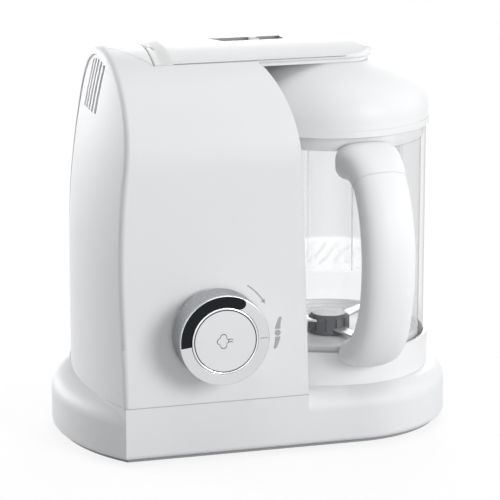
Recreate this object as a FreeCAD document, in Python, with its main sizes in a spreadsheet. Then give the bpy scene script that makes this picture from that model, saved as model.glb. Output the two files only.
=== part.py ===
import FreeCAD, Part
import math
import os
import Sketcher
from FreeCAD import Placement, Rotation, Vector

# Driving dimensions of the baby food maker, in millimetres and degrees.
# X runs from the tower to the jug, the front looks along -Y, and Z = 0 is the worktop.
DIMENSIONS = {
    # general
    "wall": 2.5,
    "seam": 0.4,
    "fit": 0.3,
    "running": 0.05,
    # base
    "foot_height": 2.6,
    "foot_radius": 9,
    "cover_thick": 2.4,
    "cover_inset": 1.5,
    "base_top": 38,
    "base_half": 75,
    "base_left": 100,
    "base_bulge": 28,
    "base_edge": 3,
    "shoulder": 12,
    "jug_x": 54,
    "screw_radius": 1.5,
    "screw_head": 3.5,
    "screw_length": 14,
    # tower
    "side_bulge": 14,
    "rim_step": 1.2,
    "arch_centre": 181,
    "arch_radius": 68.5,
    "lean_start": 112,
    "lean_radius": 530,
    "rim_width": 4.6,
    "rim_round": 3.8,
    "rim_depth": 9,
    "well_radius": 66,
    "well_half": 37,
    "well_edge": 17.2,
    "deck_drop": 6,
    "vent_pitch": 7,
    "vent_width": 3.8,
    "vent_count": 5,
    "vent_bottom": 211,
    "vent_margin": 7.3,
    # lid
    "lid_half": 31,
    "lid_right": 76,
    "lid_corner": 20,
    "lid_depth": 9,
    "lid_proud": 1.6,
    "lid_ramp": 9,
    "nose_length": 26,
    "nose_radius": 51,
    "liner_thick": 2.5,
    "liner_inset": 2,
    "hinge_left": 67,
    "hinge_drop": 2.3,
    "pin_radius": 1.1,
    "barrel_radius": 2.1,
    "barrel_half": 6,
    "knuckle_half": 12,
    "tip_margin": 2,
    "dome_rim": 196.4,
    "dome_band": 206,
    "dome_radius": 63,
    "dome_over": 5,
    "dome_wall": 2.5,
    "lip_height": 4.2,
    "lip_step": 0.5,
    "latch_x": 3,
    "latch_width": 4,
    "latch_length": 12,
    "latch_left": 30,
    "latch_right": 18,
    "latch_depth": 3.2,
    # jug
    "jug_radius": 61,
    "jug_wall": 3,
    "jug_top": 196,
    "jug_floor": 56,
    "collar_radius": 63.8,
    "collar_top": 59,
    "basket_radius": 46.5,
    "basket_wall": 1.8,
    "basket_floor": 107,
    "basket_rim": 8,
    "basket_hole": 1.6,
    "basket_pitch": 8,
    "handle_turn": 4,
    "handle_bow": 34,
    "handle_rise": 60.5,
    "handle_mid": 121,
    "handle_width": 34.5,
    "handle_depth": 24,
    "thumb_width": 39,
    "thumb_step": 0.7,
    "tail_width": 38,
    "tail_depth": 20,
    # blades and drive
    "hub_radius": 13.4,
    "hub_height": 12.5,
    "seal_radius": 15,
    "blade_reach": 33,
    "blade_thick": 1.5,
    "spindle_radius": 4,
    "bush_radius": 8,
    "coupling_radius": 11,
    "coupling_height": 11,
    "pulley_small": 9,
    "pulley_large": 27,
    "pulley_height": 9,
    "pulley_bottom": 11,
    "belt_thick": 1.6,
    "motor_x": -50,
    "motor_y": 14,
    "motor_radius": 26,
    "motor_bottom": 66,
    "motor_height": 70,
    "shaft_radius": 3,
    # water tank
    "tank_x": -40,
    "tank_radius": 22.5,
    "tank_depth": 78,
    "tank_wall": 1.2,
    # knob and steam button
    "knob_x": -42.5,
    "knob_z": 82.9,
    "knob_radius": 28.1,
    "knob_depth": 20,
    "knob_chamfer": 0.4,
    "knob_gap": 2,
    "button_radius": 20.8,
    "button_face": 19.4,
    "button_travel": 2.5,
    "stem_radius": 3.5,
    "board_gap": 17,
    "board_width": 62,
    "board_height": 66,
    "lens_start": 66,
    "lens_end": 187,
    # rear inlet
    "gland_radius": 6.5,
    "gland_height": 22,
}

# Heights that follow from the driving dimensions.
DERIVED = {
    "crown": "arch_centre + arch_radius",
    "lid_floor": "arch_centre + arch_radius - lid_depth",
    "deck_top": "arch_centre + arch_radius - lid_depth - deck_drop",
    "hinge_height": "arch_centre + arch_radius - hinge_drop",
    "liner_bottom": "arch_centre + arch_radius - lid_depth - liner_thick",
    "board_front": "base_half - board_gap",
}

HUB_FLUTES = 12
COUPLING_LOBES = 6

# Angles of the blade pairs, in degrees.
BLADE_TURN = 20
UPPER_TILT = 12
LOWER_TILT = -4

# Turns, in degrees from the handle's top root, where its sections stand, and how square they are.
THUMB_TURNS = (-14, 2, 17, 32)
GRIP_TURNS = (20, 45, 70, 94, 118, 142, 163, 178)
TAIL_TURN = 118
OVAL_POINTS = 28
THUMB_SQUARENESS = 2.9
GRIP_SQUARENESS = 2.3

doc = FreeCAD.newDocument("baby_food_maker")
sheet = doc.addObject("Spreadsheet::Sheet", "Sizes")


def fill_sheet(driving, derived):
    """Write each dimension to its own row, with its name as the alias."""
    rows = {name: str(number) for name, number in driving.items()}
    rows["centre_shift"] = "0"
    rows.update({name: f"={formula}" for name, formula in derived.items()})
    for row, (name, content) in enumerate(rows.items(), start=1):
        sheet.set(f"A{row}", name)
        sheet.set(f"B{row}", content)
        sheet.setAlias(f"B{row}", name)
    doc.recompute()


fill_sheet(DIMENSIONS, DERIVED)
SHIFT_CELL = sheet.getCellFromAlias("centre_shift")
NODES = []


def mm(formula):
    """The value of a formula of the sheet's own names."""
    return float(sheet.evalExpression(formula))


def bound(formula):
    """The same formula with each name pointing at the sheet, for an object's expression."""
    words = []
    for word in formula.replace("(", "( ").replace(")", " )").split():
        words.append(f"Sizes.{word}" if word[0].isalpha() and not word.endswith("(") else word)
    return " ".join(words)


def seat(piece, x="0", y="0", z="0", rotation=None):
    """Place a piece at formulas of the sheet, shifted so that the whole part is centred on Y."""
    if rotation is not None:
        piece.Placement = Placement(Vector(), rotation)
    piece.setExpression("Placement.Base.x", bound(x))
    piece.setExpression("Placement.Base.y", bound(f"{y} + centre_shift"))
    piece.setExpression("Placement.Base.z", bound(z))
    NODES.append(piece)
    return piece


def draw_profile(sketch, corners):
    """A closed outline of straight lines whose corners are bound to pairs of formulas."""
    spots = [(mm(x), mm(y)) for x, y in corners]
    count = len(spots)
    lines = []
    for index in range(count):
        lines.append(Part.LineSegment(Vector(*spots[index]), Vector(*spots[(index + 1) % count])))
    sketch.addGeometry(lines, False)
    for index in range(count):
        sketch.addConstraint(Sketcher.Constraint("Coincident", index, 2, (index + 1) % count, 1))
    for index, (corner, spot) in enumerate(zip(corners, spots)):
        for kind, axis, formula, number in (("DistanceX", -2, corner[0], spot[0]),
                                            ("DistanceY", -1, corner[1], spot[1])):
            if formula == "0":
                sketch.addConstraint(Sketcher.Constraint("PointOnObject", index, 1, axis))
                continue
            place = sketch.addConstraint(Sketcher.Constraint(kind, -1, 1, index, 1, number))
            sketch.setExpression(f"Constraints[{place}]", bound(formula))


def new_sketch(body, role):
    """A sketch on one of the body's own origin planes."""
    sketch = body.newObject("Sketcher::SketchObject", body.Name + "_profile")
    plane = next(item for item in body.Origin.OriginFeatures if item.Role == role)
    sketch.AttachmentSupport = [(plane, "")]
    sketch.MapMode = "FlatFace"
    return sketch


def turned(label, corners, x="0", y="0", z="0", rotation=None):
    """A turned piece: a profile of radius and height, revolved about the vertical."""
    body = doc.addObject("PartDesign::Body", label)
    sketch = new_sketch(body, "XZ_Plane")
    draw_profile(sketch, corners)
    revolution = body.newObject("PartDesign::Revolution", label + "_turn")
    revolution.Profile = sketch
    revolution.ReferenceAxis = (sketch, ["V_Axis"])
    revolution.Angle = 360
    return seat(body, x, y, z, rotation)


def ring(label, inner, outer, bottom, top, x="0", y="0", z="0", rotation=None):
    """A plain turned ring, or a disc where the inner radius is 0."""
    corners = [(inner, bottom), (outer, bottom), (outer, top), (inner, top)]
    return turned(label, corners, x, y, z, rotation)


def formed(label, shape, z="0"):
    """A moulded piece whose shape comes from lofts, fillets and cuts of the sheet's sizes."""
    piece = doc.addObject("Part::Feature", label)
    piece.Shape = shape
    return seat(piece, "0", "0", z)


def cylinder(radius, bottom, top, x=0.0, y=0.0):
    return Part.makeCylinder(radius, top - bottom, Vector(x, y, bottom))


def across(radius, front, back, x, z):
    """A cylinder along Y."""
    return Part.makeCylinder(radius, back - front, Vector(x, front, z), Vector(0, 1, 0))


def box(x0, x1, y0, y1, z0, z1):
    return Part.makeBox(x1 - x0, y1 - y0, z1 - z0, Vector(x0, y0, z0))


def prism(edges, direction):
    return Part.Face(Part.Wire(edges)).extrude(direction)


def line(a, b):
    return Part.LineSegment(Vector(*a), Vector(*b)).toShape()


def arc(a, middle, b):
    return Part.Arc(Vector(*a), Vector(*middle), Vector(*b)).toShape()


FRONT_FACING = Rotation(Vector(1, 0, 0), 90)
FAR = 200.0
SKY = mm("crown + lid_proud + wall")

wall = mm("wall")
seam = mm("seam")
jug_x = mm("jug_x")
half = mm("base_half")
base_top = mm("base_top")


def base_outline(inset, bottom, top):
    """The base in plan: a bowed left end, straight sides and a round right end about the jug."""
    left, bulge = mm("base_left"), mm("base_bulge")
    bow = (half ** 2 + bulge ** 2) / (2 * bulge)
    centre = bow - left - bulge
    side = half - inset
    radius = bow - inset
    corner = centre - math.sqrt(radius ** 2 - side ** 2)
    edges = [
        line((corner, -side, bottom), (jug_x, -side, bottom)),
        arc((jug_x, -side, bottom), (jug_x + side, 0, bottom), (jug_x, side, bottom)),
        line((jug_x, side, bottom), (corner, side, bottom)),
        arc((corner, side, bottom), (centre - radius, 0, bottom), (corner, -side, bottom)),
    ]
    return prism(edges, Vector(0, 0, top - bottom))


def arch(inset, x0=-FAR, x1=FAR):
    """The loaf-shaped arch of the tower, seen along X: leaning sides tangent to a round crown."""
    centre, radius = mm("arch_centre"), mm("arch_radius") - inset
    side = half - inset
    reach = math.hypot(side, base_top - centre)
    turn = math.atan2(base_top - centre, -side) - math.acos(radius / reach)
    touch = (radius * math.cos(turn), centre + radius * math.sin(turn))
    edges = [
        line((x0, -side, base_top), (x0, touch[0], touch[1])),
        arc((x0, touch[0], touch[1]), (x0, 0, centre + radius), (x0, -touch[0], touch[1])),
        line((x0, -touch[0], touch[1]), (x0, side, base_top)),
        line((x0, side, base_top), (x0, -side, base_top)),
    ]
    return prism(edges, Vector(x1 - x0, 0, 0))


def lean(height):
    """How far the tower's left side has leaned in at a height."""
    radius, rise = mm("lean_radius"), max(0.0, height - mm("lean_start"))
    return radius - math.sqrt(radius ** 2 - rise ** 2)


def side_limit(inset):
    """A body of revolution whose left flank is the bowed side of the tower, leaning in at the top."""
    left, bulge = mm("base_left"), mm("side_bulge")
    radius = (half ** 2 + bulge ** 2) / (2 * bulge)
    axis = radius - left - bulge
    flank, start = radius - inset, mm("lean_start")
    middle = (start + SKY) / 2
    edges = [
        line((0, 0, base_top), (flank, 0, base_top)),
        line((flank, 0, base_top), (flank, 0, start)),
        arc((flank, 0, start), (flank - lean(middle), 0, middle), (flank - lean(SKY), 0, SKY)),
        line((flank - lean(SKY), 0, SKY), (0, 0, SKY)),
        line((0, 0, SKY), (0, 0, base_top)),
    ]
    solid = Part.Face(Part.Wire(edges)).revolve(Vector(), Vector(0, 0, 1), 360)
    solid.translate(Vector(axis, 0, 0))
    return solid


def well_side(inset):
    """What lies on the tower's side of the hollow wall that faces the jug."""
    radius = mm("well_radius") + inset
    reach, edge = mm("well_half"), mm("well_edge") - inset
    inner = jug_x - math.sqrt(radius ** 2 - reach ** 2)
    slope = (edge - inner) / (half - reach)
    outer = edge + slope * (FAR - half)
    low, high = base_top, SKY
    edges = [
        line((-FAR, -FAR, low), (outer, -FAR, low)),
        line((outer, -FAR, low), (inner, -reach, low)),
        arc((inner, -reach, low), (jug_x - radius, 0, low), (inner, reach, low)),
        line((inner, reach, low), (outer, FAR, low)),
        line((outer, FAR, low), (-FAR, FAR, low)),
        line((-FAR, FAR, low), (-FAR, -FAR, low)),
    ]
    return prism(edges, Vector(0, 0, high - low))


def lid_outline(grow, x0, low, high):
    """The lid in plan from x0 to its rounded right end."""
    side, right = mm("lid_half") + grow, mm("lid_right") + grow
    corner = mm("lid_corner") + grow
    bend = corner * (1 - math.sqrt(0.5))
    edges = [
        line((x0, -side, low), (right - corner, -side, low)),
        arc((right - corner, -side, low), (right - bend, -side + bend, low), (right, -side + corner, low)),
        line((right, -side + corner, low), (right, side - corner, low)),
        arc((right, side - corner, low), (right - bend, side - bend, low), (right - corner, side, low)),
        line((right - corner, side, low), (x0, side, low)),
        line((x0, side, low), (x0, -side, low)),
    ]
    return prism(edges, Vector(0, 0, high - low))


def cap_edge():
    """Where the fixed cap ends, clear of the lid's swinging edge."""
    return -mm("hinge_left") - max(mm("barrel_radius"), mm("hinge_drop")) - seam


def cap_outline(grow, low, high):
    """The pointed cap in plan, from the tower's ridge to the lid's hinge."""
    ridge = lean(mm("crown")) - mm("base_left") - mm("side_bulge")
    side, tip = mm("lid_half") + grow, ridge + mm("tip_margin") - grow
    right = cap_edge()
    edges = [
        line((tip, 0, low), (right, -side, low)),
        line((right, -side, low), (right, side, low)),
        line((right, side, low), (tip, 0, low)),
    ]
    return prism(edges, Vector(0, 0, high - low))


def crown_void(grow, low):
    """The space that the cap and the lid take out of the arch's crown."""
    lid = lid_outline(grow, cap_edge(), low, SKY)
    return lid.fuse(cap_outline(grow, low, SKY))


def oval(width, depth, squareness):
    """A closed smooth section between an ellipse and a rounded rectangle."""
    spots = []
    for index in range(OVAL_POINTS):
        turn = 2 * math.pi * index / OVAL_POINTS
        side, rise = math.cos(turn), math.sin(turn)
        spots.append(Vector(math.copysign(abs(side) ** (2 / squareness), side) * width / 2,
                            math.copysign(abs(rise) ** (2 / squareness), rise) * depth / 2, 0))
    curve = Part.BSplineCurve()
    curve.interpolate(Points=spots, PeriodicFlag=True)
    return Part.Wire(curve.toShape())


def handle_sweep(turns, width, depth, squareness):
    """Sections along the handle's half-oval path, at turns counted from its top root."""
    bow, rise, middle = mm("handle_bow"), mm("handle_rise"), mm("handle_mid")
    root = mm("jug_radius") + wall
    sections = []
    for degrees in turns:
        turn = math.radians(degrees)
        centre = Vector(0, -(root + bow * math.sin(turn)), middle + rise * math.cos(turn))
        heading = Vector(0, -bow * math.cos(turn), -rise * math.sin(turn)).normalize()
        section = oval(width(degrees), depth(degrees), squareness(degrees))
        section.Placement = Placement(centre, Rotation(Vector(1, 0, 0), heading.cross(Vector(1, 0, 0)),
                                                       heading, "ZXY"))
        sections.append(section)
    return Part.makeLoft(sections, True, False)


def ease(degrees, start, finish, before, after):
    """A smooth passage from one value to another between two turns of the handle."""
    share = min(1.0, max(0.0, (degrees - start) / (finish - start)))
    share = share * share * (3 - 2 * share)
    return before + (after - before) * share


def handle_shape():
    """The jug's handle: a flat-topped thumb piece over a narrower bowed grip, tied to the wall below."""
    wide, deep, step = mm("handle_width"), mm("handle_depth"), mm("thumb_step")
    thumb = handle_sweep(THUMB_TURNS,
                         lambda turn: ease(turn, 0, THUMB_TURNS[-1], mm("thumb_width"), wide),
                         lambda turn: deep,
                         lambda turn: ease(turn, 0, THUMB_TURNS[-1], THUMB_SQUARENESS, GRIP_SQUARENESS))
    grip = handle_sweep(GRIP_TURNS,
                        lambda turn: ease(turn, TAIL_TURN, GRIP_TURNS[-1], wide - step, mm("tail_width")),
                        lambda turn: ease(turn, TAIL_TURN, GRIP_TURNS[-1], deep - 2 * step, mm("tail_depth")),
                        lambda turn: GRIP_SQUARENESS)
    root = mm("jug_radius") + wall
    low = mm("collar_top") + 2 * mm("fit")
    tie = box(-wide / 4, wide / 4, -(root + mm("handle_bow") / 3), -mm("jug_radius") + wall, low, low + deep / 2)
    handle = thumb.fuse(grip).fuse(tie)
    handle.rotate(Vector(), Vector(0, 0, 1), mm("handle_turn"))
    handle.translate(Vector(jug_x, 0, 0))
    return handle.cut(cylinder(mm("jug_radius") + mm("running"), 0, 2 * SKY, jug_x))


# The handle stands out in front, so the whole part is shifted back to centre its footprint.
HANDLE = handle_shape()
sheet.set(SHIFT_CELL, str(-(HANDLE.optimalBoundingBox(False, False).YMin + half) / 2))
doc.recompute()


def base_unit():
    """The floor of the machine: moulded base, bottom cover, feet, screws and the jug's collar."""
    low = mm("foot_height + cover_thick")
    outer = base_outline(0, low, base_top)
    rim = [edge for edge in outer.Edges if edge.BoundBox.ZMin > base_top - seam]
    rounded = outer.makeFillet(mm("shoulder"), rim)
    foot = [edge for edge in rounded.Edges if edge.BoundBox.ZMax < low + seam]
    rounded = rounded.makeFillet(mm("base_edge"), foot)
    plinth = base_outline(0, base_top - 2 * mm("shoulder"), base_top)
    plinth = plinth.common(side_footprint(base_top - 2 * mm("shoulder"), base_top))
    shell = rounded.fuse(plinth).removeSplitter()
    hollow = base_outline(wall + mm("base_edge"), low, base_top - mm("shoulder"))
    crown = base_outline(wall + mm("shoulder") / 2, low, base_top - wall)
    shell = shell.cut(hollow.fuse(crown))
    shell = shell.cut(cylinder(mm("bush_radius"), low, FAR, jug_x))
    shell = shell.cut(cylinder(mm("shaft_radius") + wall, low, FAR, mm("motor_x"), mm("motor_y")))
    cover = base_outline(mm("base_edge + cover_inset"), mm("foot_height"), low)
    for x, y in screw_spots():
        boss = cylinder(mm("screw_head"), low, base_top - wall, x, y)
        shell = shell.fuse(boss).cut(cylinder(mm("screw_radius"), low, low + mm("screw_length"), x, y))
        cover = cover.cut(cylinder(mm("screw_head"), mm("foot_height"), low, x, y))
    formed("base_shell", shell)
    formed("bottom_cover", cover)
    feet = [cylinder(mm("foot_radius"), 0, mm("foot_height"), x, y) for x, y in foot_spots()]
    formed("rubber_feet", Part.makeCompound(feet))
    screws = [screw(x, y) for x, y in screw_spots()]
    formed("bottom_screws", Part.makeCompound(screws))
    collar = [("jug_radius + fit", "base_top"), ("collar_radius", "base_top"), ("collar_radius", "collar_top"),
              ("jug_radius + fit", "collar_top")]
    turned("jug_collar", collar, "jug_x")


def side_footprint(low, high):
    """The tower's own footprint: its bowed left side and its straight right edge."""
    limit = side_limit(0)
    limit.translate(Vector(0, 0, low - base_top))
    return limit.common(box(-FAR, mm("well_edge"), -half, half, low, high))


def screw_spots():
    reach = half - 3 * mm("foot_radius") + wall
    return [(x, y) for x in (mm("motor_x") - 2 * mm("screw_length"), jug_x / 2) for y in (-reach, reach)]


def screw(x, y):
    """A pan-head screw set into the bottom cover, its shank in the base's boss."""
    low = mm("foot_height + cover_thick")
    head = cylinder(mm("screw_head"), mm("foot_height"), low, x, y)
    cross = box(x - mm("screw_radius"), x + mm("screw_radius"), y - mm("running") * 8, y + mm("running") * 8,
                0, mm("foot_height") + mm("cover_thick") / 2)
    return head.fuse(cylinder(mm("screw_radius"), low, low + mm("screw_length"), x, y)).cut(cross)


def foot_spots():
    reach = half - 3 * mm("foot_radius")
    return [(-mm("base_left") + mm("foot_radius"), -reach), (-mm("base_left") + mm("foot_radius"), reach),
            (jug_x + reach / 2, -reach), (jug_x + reach / 2, reach)]


def tower():
    """The tower's casing: front and rear panels, vented side cover, wall to the jug and top deck."""
    loaf = arch(0).common(side_limit(0))
    rims = [edge for edge in loaf.Edges if on_rim(edge)]
    loaf = loaf.makeFillet(mm("rim_round"), rims)
    hollow = arch(mm("rim_width")).fuse(arch(wall).common(side_limit(mm("rim_depth"))))
    skin = loaf.cut(hollow).common(well_side(0))
    skin = skin.cut(crown_void(seam, mm("lid_floor") - 4 * wall))
    front = skin.common(box(-FAR, FAR, -FAR, 0, 0, SKY))
    knob_x, knob_z = mm("knob_x"), mm("knob_z")
    front = front.cut(across(mm("button_radius") - wall, -FAR, 0, knob_x, knob_z))
    formed("front_panel", front)
    rear = skin.common(box(-FAR, FAR, 0, FAR, 0, SKY))
    rear = rear.cut(across(mm("gland_radius"), 0, FAR, -mm("base_left") / 2, base_top + mm("gland_height")))
    formed("rear_panel", rear)
    step = mm("rim_step")
    side = side_limit(step).cut(side_limit(step + wall)).common(arch(mm("rim_width"))).common(
        box(-FAR, -mm("base_left") / 2, -FAR, FAR, base_top, SKY))
    side = side.cut(crown_void(seam, mm("lid_floor") - 4 * wall))
    formed("side_cover", side.cut(vents()))
    high = mm("liner_bottom") - seam
    face = well_side(0).cut(well_side(wall)).common(arch(wall)).common(
        box(-mm("base_left") / 2, FAR, -FAR, FAR, base_top, high))
    formed("well_wall", face)
    deck_z = mm("deck_top")
    deck = box(-FAR, FAR, -FAR, FAR, deck_z - wall, deck_z).common(arch(wall))
    deck = deck.common(side_limit(mm("rim_depth") + seam)).common(well_side(wall))
    deck = deck.cut(cylinder(mm("tank_radius") + mm("running"), 0, FAR + SKY, mm("tank_x")))
    formed("top_deck", deck)


def on_rim(edge):
    """Whether an edge lies on the left end of the arch, above the base's top."""
    spot = edge.valueAt((edge.FirstParameter + edge.LastParameter) / 2)
    return spot.x < -mm("base_left") / 2 and edge.BoundBox.ZMax > base_top + seam


def vents():
    """Upright slots under the crown of the side cover, their tops in step with the arch."""
    slots = []
    pitch, width = mm("vent_pitch"), mm("vent_width")
    count = int(mm("vent_count"))
    for index in range(count):
        y = (index - (count - 1) / 2) * pitch
        slots.append(box(-FAR, -mm("base_left") / 2, y - width / 2, y + width / 2, mm("vent_bottom"), SKY))
    return Part.makeCompound(slots).common(arch(mm("vent_margin")))


def crown_cap():
    """The fixed pointed cap behind the lid, with the hinge's outer knuckles and its pin."""
    pin_x, pin_z = -mm("hinge_left"), mm("hinge_height")
    low = mm("deck_top")
    cap = cap_outline(0, low, SKY).common(arch(0)).common(side_limit(0))
    cap = cap.cut(cap_outline(-wall, low, SKY).common(arch(wall)))
    link = box(cap_edge() - wall, pin_x, -mm("knuckle_half"), mm("knuckle_half"),
               pin_z - mm("barrel_radius"), pin_z)
    knuckles = across(mm("barrel_radius"), -mm("knuckle_half"), mm("knuckle_half"), pin_x, pin_z).fuse(link)
    knuckles = knuckles.cut(box(-FAR, FAR, -mm("barrel_half"), mm("barrel_half"), 0, 2 * SKY))
    cap = cap.fuse(knuckles).cut(across(mm("pin_radius"), -FAR, FAR, pin_x, pin_z))
    formed("crown_cap", cap.common(arch(0)))
    formed("hinge_pin", across(mm("pin_radius"), -mm("knuckle_half"), mm("knuckle_half"), pin_x, pin_z))


def nose(inset):
    """What lies under the lid's crown: level at first, then falling in a wide curve to its right end."""
    start = mm("lid_right - nose_length")
    radius, top = mm("nose_radius"), mm("crown + lid_proud")
    return box(-FAR, start, -FAR, FAR, 0, SKY).fuse(across(radius - inset, -FAR, FAR, start, top - radius))


def lid_crown():
    """The lid's round top: level with the arch by the hinge, then up a short ramp to stand proud of it."""
    radius, start = mm("arch_radius"), -mm("hinge_left")
    foot, head, high = start + mm("barrel_radius"), start + mm("lid_ramp"), mm("arch_radius + lid_proud")
    edges = [
        line((-FAR, 0, 0), (-FAR, 0, radius)),
        line((-FAR, 0, radius), (foot, 0, radius)),
        line((foot, 0, radius), (head, 0, high)),
        line((head, 0, high), (FAR, 0, high)),
        line((FAR, 0, high), (FAR, 0, 0)),
        line((FAR, 0, 0), (-FAR, 0, 0)),
    ]
    solid = Part.Face(Part.Wire(edges)).revolve(Vector(), Vector(1, 0, 0), 360)
    solid.translate(Vector(0, 0, mm("arch_centre")))
    return solid.common(nose(0))


def lid():
    """The lid that swings up about its left end: crown plate, liner, dome and seals."""
    pin_x, pin_z = -mm("hinge_left"), mm("hinge_height")
    roll = mm("barrel_radius")
    left = pin_x + roll + seam
    floor = mm("lid_floor")
    plate = lid_outline(0, pin_x - roll, floor, SKY).common(lid_crown())
    corner = box(pin_x - 2 * roll, pin_x, -FAR, FAR, pin_z, SKY).cut(across(roll, -FAR, FAR, pin_x, pin_z))
    room = lid_outline(-wall, left + wall, floor, SKY).common(arch(wall)).common(nose(wall))
    plate = plate.cut(corner).cut(room)
    for near, far in ((-mm("knuckle_half + fit"), -mm("barrel_half - fit")),
                      (mm("barrel_half - fit"), mm("knuckle_half + fit"))):
        plate = plate.cut(across(roll + mm("fit"), near, far, pin_x, pin_z))
        plate = plate.cut(box(pin_x - 2 * roll, pin_x, near, far, 0, SKY))
    plate = plate.cut(across(mm("pin_radius + running"), -mm("barrel_half"), mm("barrel_half"), pin_x, pin_z))
    pit = mm("crown + lid_proud - latch_depth")
    slot = box(mm("latch_x") - mm("latch_left"), mm("latch_x") + mm("latch_right"), -mm("latch_length") / 2,
               mm("latch_length") / 2, pit, SKY)
    pan = box(mm("latch_x") - mm("latch_left") - wall, mm("latch_x") + mm("latch_right") + wall,
              -mm("latch_length") / 2 - wall, mm("latch_length") / 2 + wall,
              pit - wall, SKY).common(lid_crown())
    plate = plate.fuse(pan).cut(slot)
    formed("lid_plate", plate.removeSplitter())
    inset = mm("liner_inset")
    liner = lid_outline(-inset, left, floor - mm("liner_thick"), floor)
    formed("lid_liner", liner)
    formed("lid_latch", box(mm("latch_x") - mm("latch_width") / 2, mm("latch_x") + mm("latch_width") / 2,
                            -mm("latch_length") / 2 + mm("fit"), mm("latch_length") / 2 - mm("fit"),
                            pit + mm("running"), mm("crown + lid_proud")))
    formed("lid_dome", dome(0).cut(dome(mm("dome_wall"))))
    ring("jug_seal", "jug_radius - jug_wall", "dome_radius - dome_wall", "dome_rim", "dome_rim + wall", "jug_x")
    ring("tank_seal", "tank_radius - tank_wall - wall", "tank_radius + wall", "deck_top + fit + tank_wall",
         "liner_bottom", "tank_x")
    ring("steam_nozzle", "spindle_radius", "spindle_radius + wall", "liner_bottom - bush_radius",
         "liner_bottom", "jug_x")


def dome(inset):
    """The lid's dome over the jug: an upright band under a flattened round top."""
    low, band = mm("dome_rim"), mm("dome_band")
    top = mm("liner_bottom")
    radius = mm("dome_radius") - max(inset, mm("lip_step"))
    rise = top - band + mm("dome_over") - inset
    turn = math.asin(min(1.0, (top - band) / rise))
    ellipse = Part.Ellipse(Vector(radius, 0, band), Vector(0, 0, band + rise), Vector(0, 0, band))
    edge = Part.ArcOfEllipse(ellipse, 0, turn).toShape()
    end = edge.Vertexes[-1].Point
    edges = [
        line((0, 0, low), (radius, 0, low)),
        line((radius, 0, low), (radius, 0, band)),
        edge,
        line(tuple(end), (0, 0, end.z)),
        line((0, 0, end.z), (0, 0, low)),
    ]
    solid = Part.Face(Part.Wire(edges)).revolve(Vector(), Vector(0, 0, 1), 360)
    if inset == 0:
        solid = solid.fuse(cylinder(mm("dome_radius"), low, low + mm("lip_height")))
    solid.translate(Vector(jug_x, 0, 0))
    return solid


def jug():
    """The clear jug with its handle and blade seal, and the steam basket that hangs in its mouth."""
    turned("jug_bowl", [
        ("jug_radius - jug_wall", "base_top + fit"), ("jug_radius", "base_top + fit"), ("jug_radius", "jug_top"),
        ("jug_radius - jug_wall / 2", "jug_top"), ("jug_radius - jug_wall / 2", "jug_top - fit - basket_rim"),
        ("jug_radius - jug_wall", "jug_top - fit - basket_rim"), ("jug_radius - jug_wall", "jug_floor"),
        ("seal_radius", "jug_floor"), ("seal_radius", "jug_floor - jug_wall"),
        ("jug_radius - jug_wall", "jug_floor - jug_wall")], "jug_x")
    ring("blade_seal", "spindle_radius + fit", "seal_radius", "jug_floor - jug_wall", "jug_floor", "jug_x")
    formed("jug_handle", HANDLE)
    floor, thick, radius = mm("basket_floor"), mm("basket_wall"), mm("basket_radius")
    rim = mm("jug_radius - jug_wall / 2 - fit")
    top = mm("jug_top - fit")
    cup = cylinder(radius, floor, top, jug_x).fuse(cylinder(rim, top - mm("basket_rim"), top, jug_x))
    cup = cup.cut(cylinder(radius - thick, floor + thick, 2 * SKY, jug_x))
    formed("steam_basket", cup.cut(basket_holes(floor, floor + thick)))


def basket_holes(low, high):
    """Drain holes in the basket's floor, in rings about its middle."""
    pitch = mm("basket_pitch")
    holes = [cylinder(mm("basket_hole"), low, high, jug_x)]
    for row in range(1, int((mm("basket_radius") - pitch) / pitch)):
        count = 6 * row
        for index in range(count):
            turn = 2 * math.pi * index / count
            holes.append(cylinder(mm("basket_hole"), low, high, jug_x + row * pitch * math.cos(turn),
                                  row * pitch * math.sin(turn)))
    return Part.makeCompound(holes)


def pulley(label, radius, bore, x, y="0"):
    """A flanged belt pulley."""
    lip = f"{radius} + belt_thick + fit"
    low, high = "pulley_bottom", "pulley_bottom + pulley_height"
    turned(label, [
        (bore, low), (lip, low), (lip, f"{low} + belt_thick"), (radius, f"{low} + belt_thick"),
        (radius, f"{high} - belt_thick"), (lip, f"{high} - belt_thick"), (lip, high), (bore, high)], x, y)


def belt_loop(offset):
    """The closed path of the belt round both pulleys, at an offset from their rims."""
    start = Vector(mm("motor_x"), mm("motor_y"), mm("pulley_bottom + belt_thick + fit"))
    finish = Vector(jug_x, 0, start.z)
    small, large = mm("pulley_small") + offset, mm("pulley_large") + offset
    run = finish - start
    heading = math.atan2(run.y, run.x)
    spread = math.acos((small - large) / run.Length)

    def rim(centre, radius, angle):
        return centre + Vector(radius * math.cos(angle), radius * math.sin(angle), 0)

    up, down = heading + spread, heading - spread
    edges = [
        line(rim(start, small, up), rim(finish, large, up)),
        arc(rim(finish, large, up), rim(finish, large, heading), rim(finish, large, down)),
        line(rim(finish, large, down), rim(start, small, down)),
        arc(rim(start, small, down), rim(start, small, heading + math.pi), rim(start, small, up)),
    ]
    return prism(edges, Vector(0, 0, mm("pulley_height - 2 * belt_thick - 2 * fit")))


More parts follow.
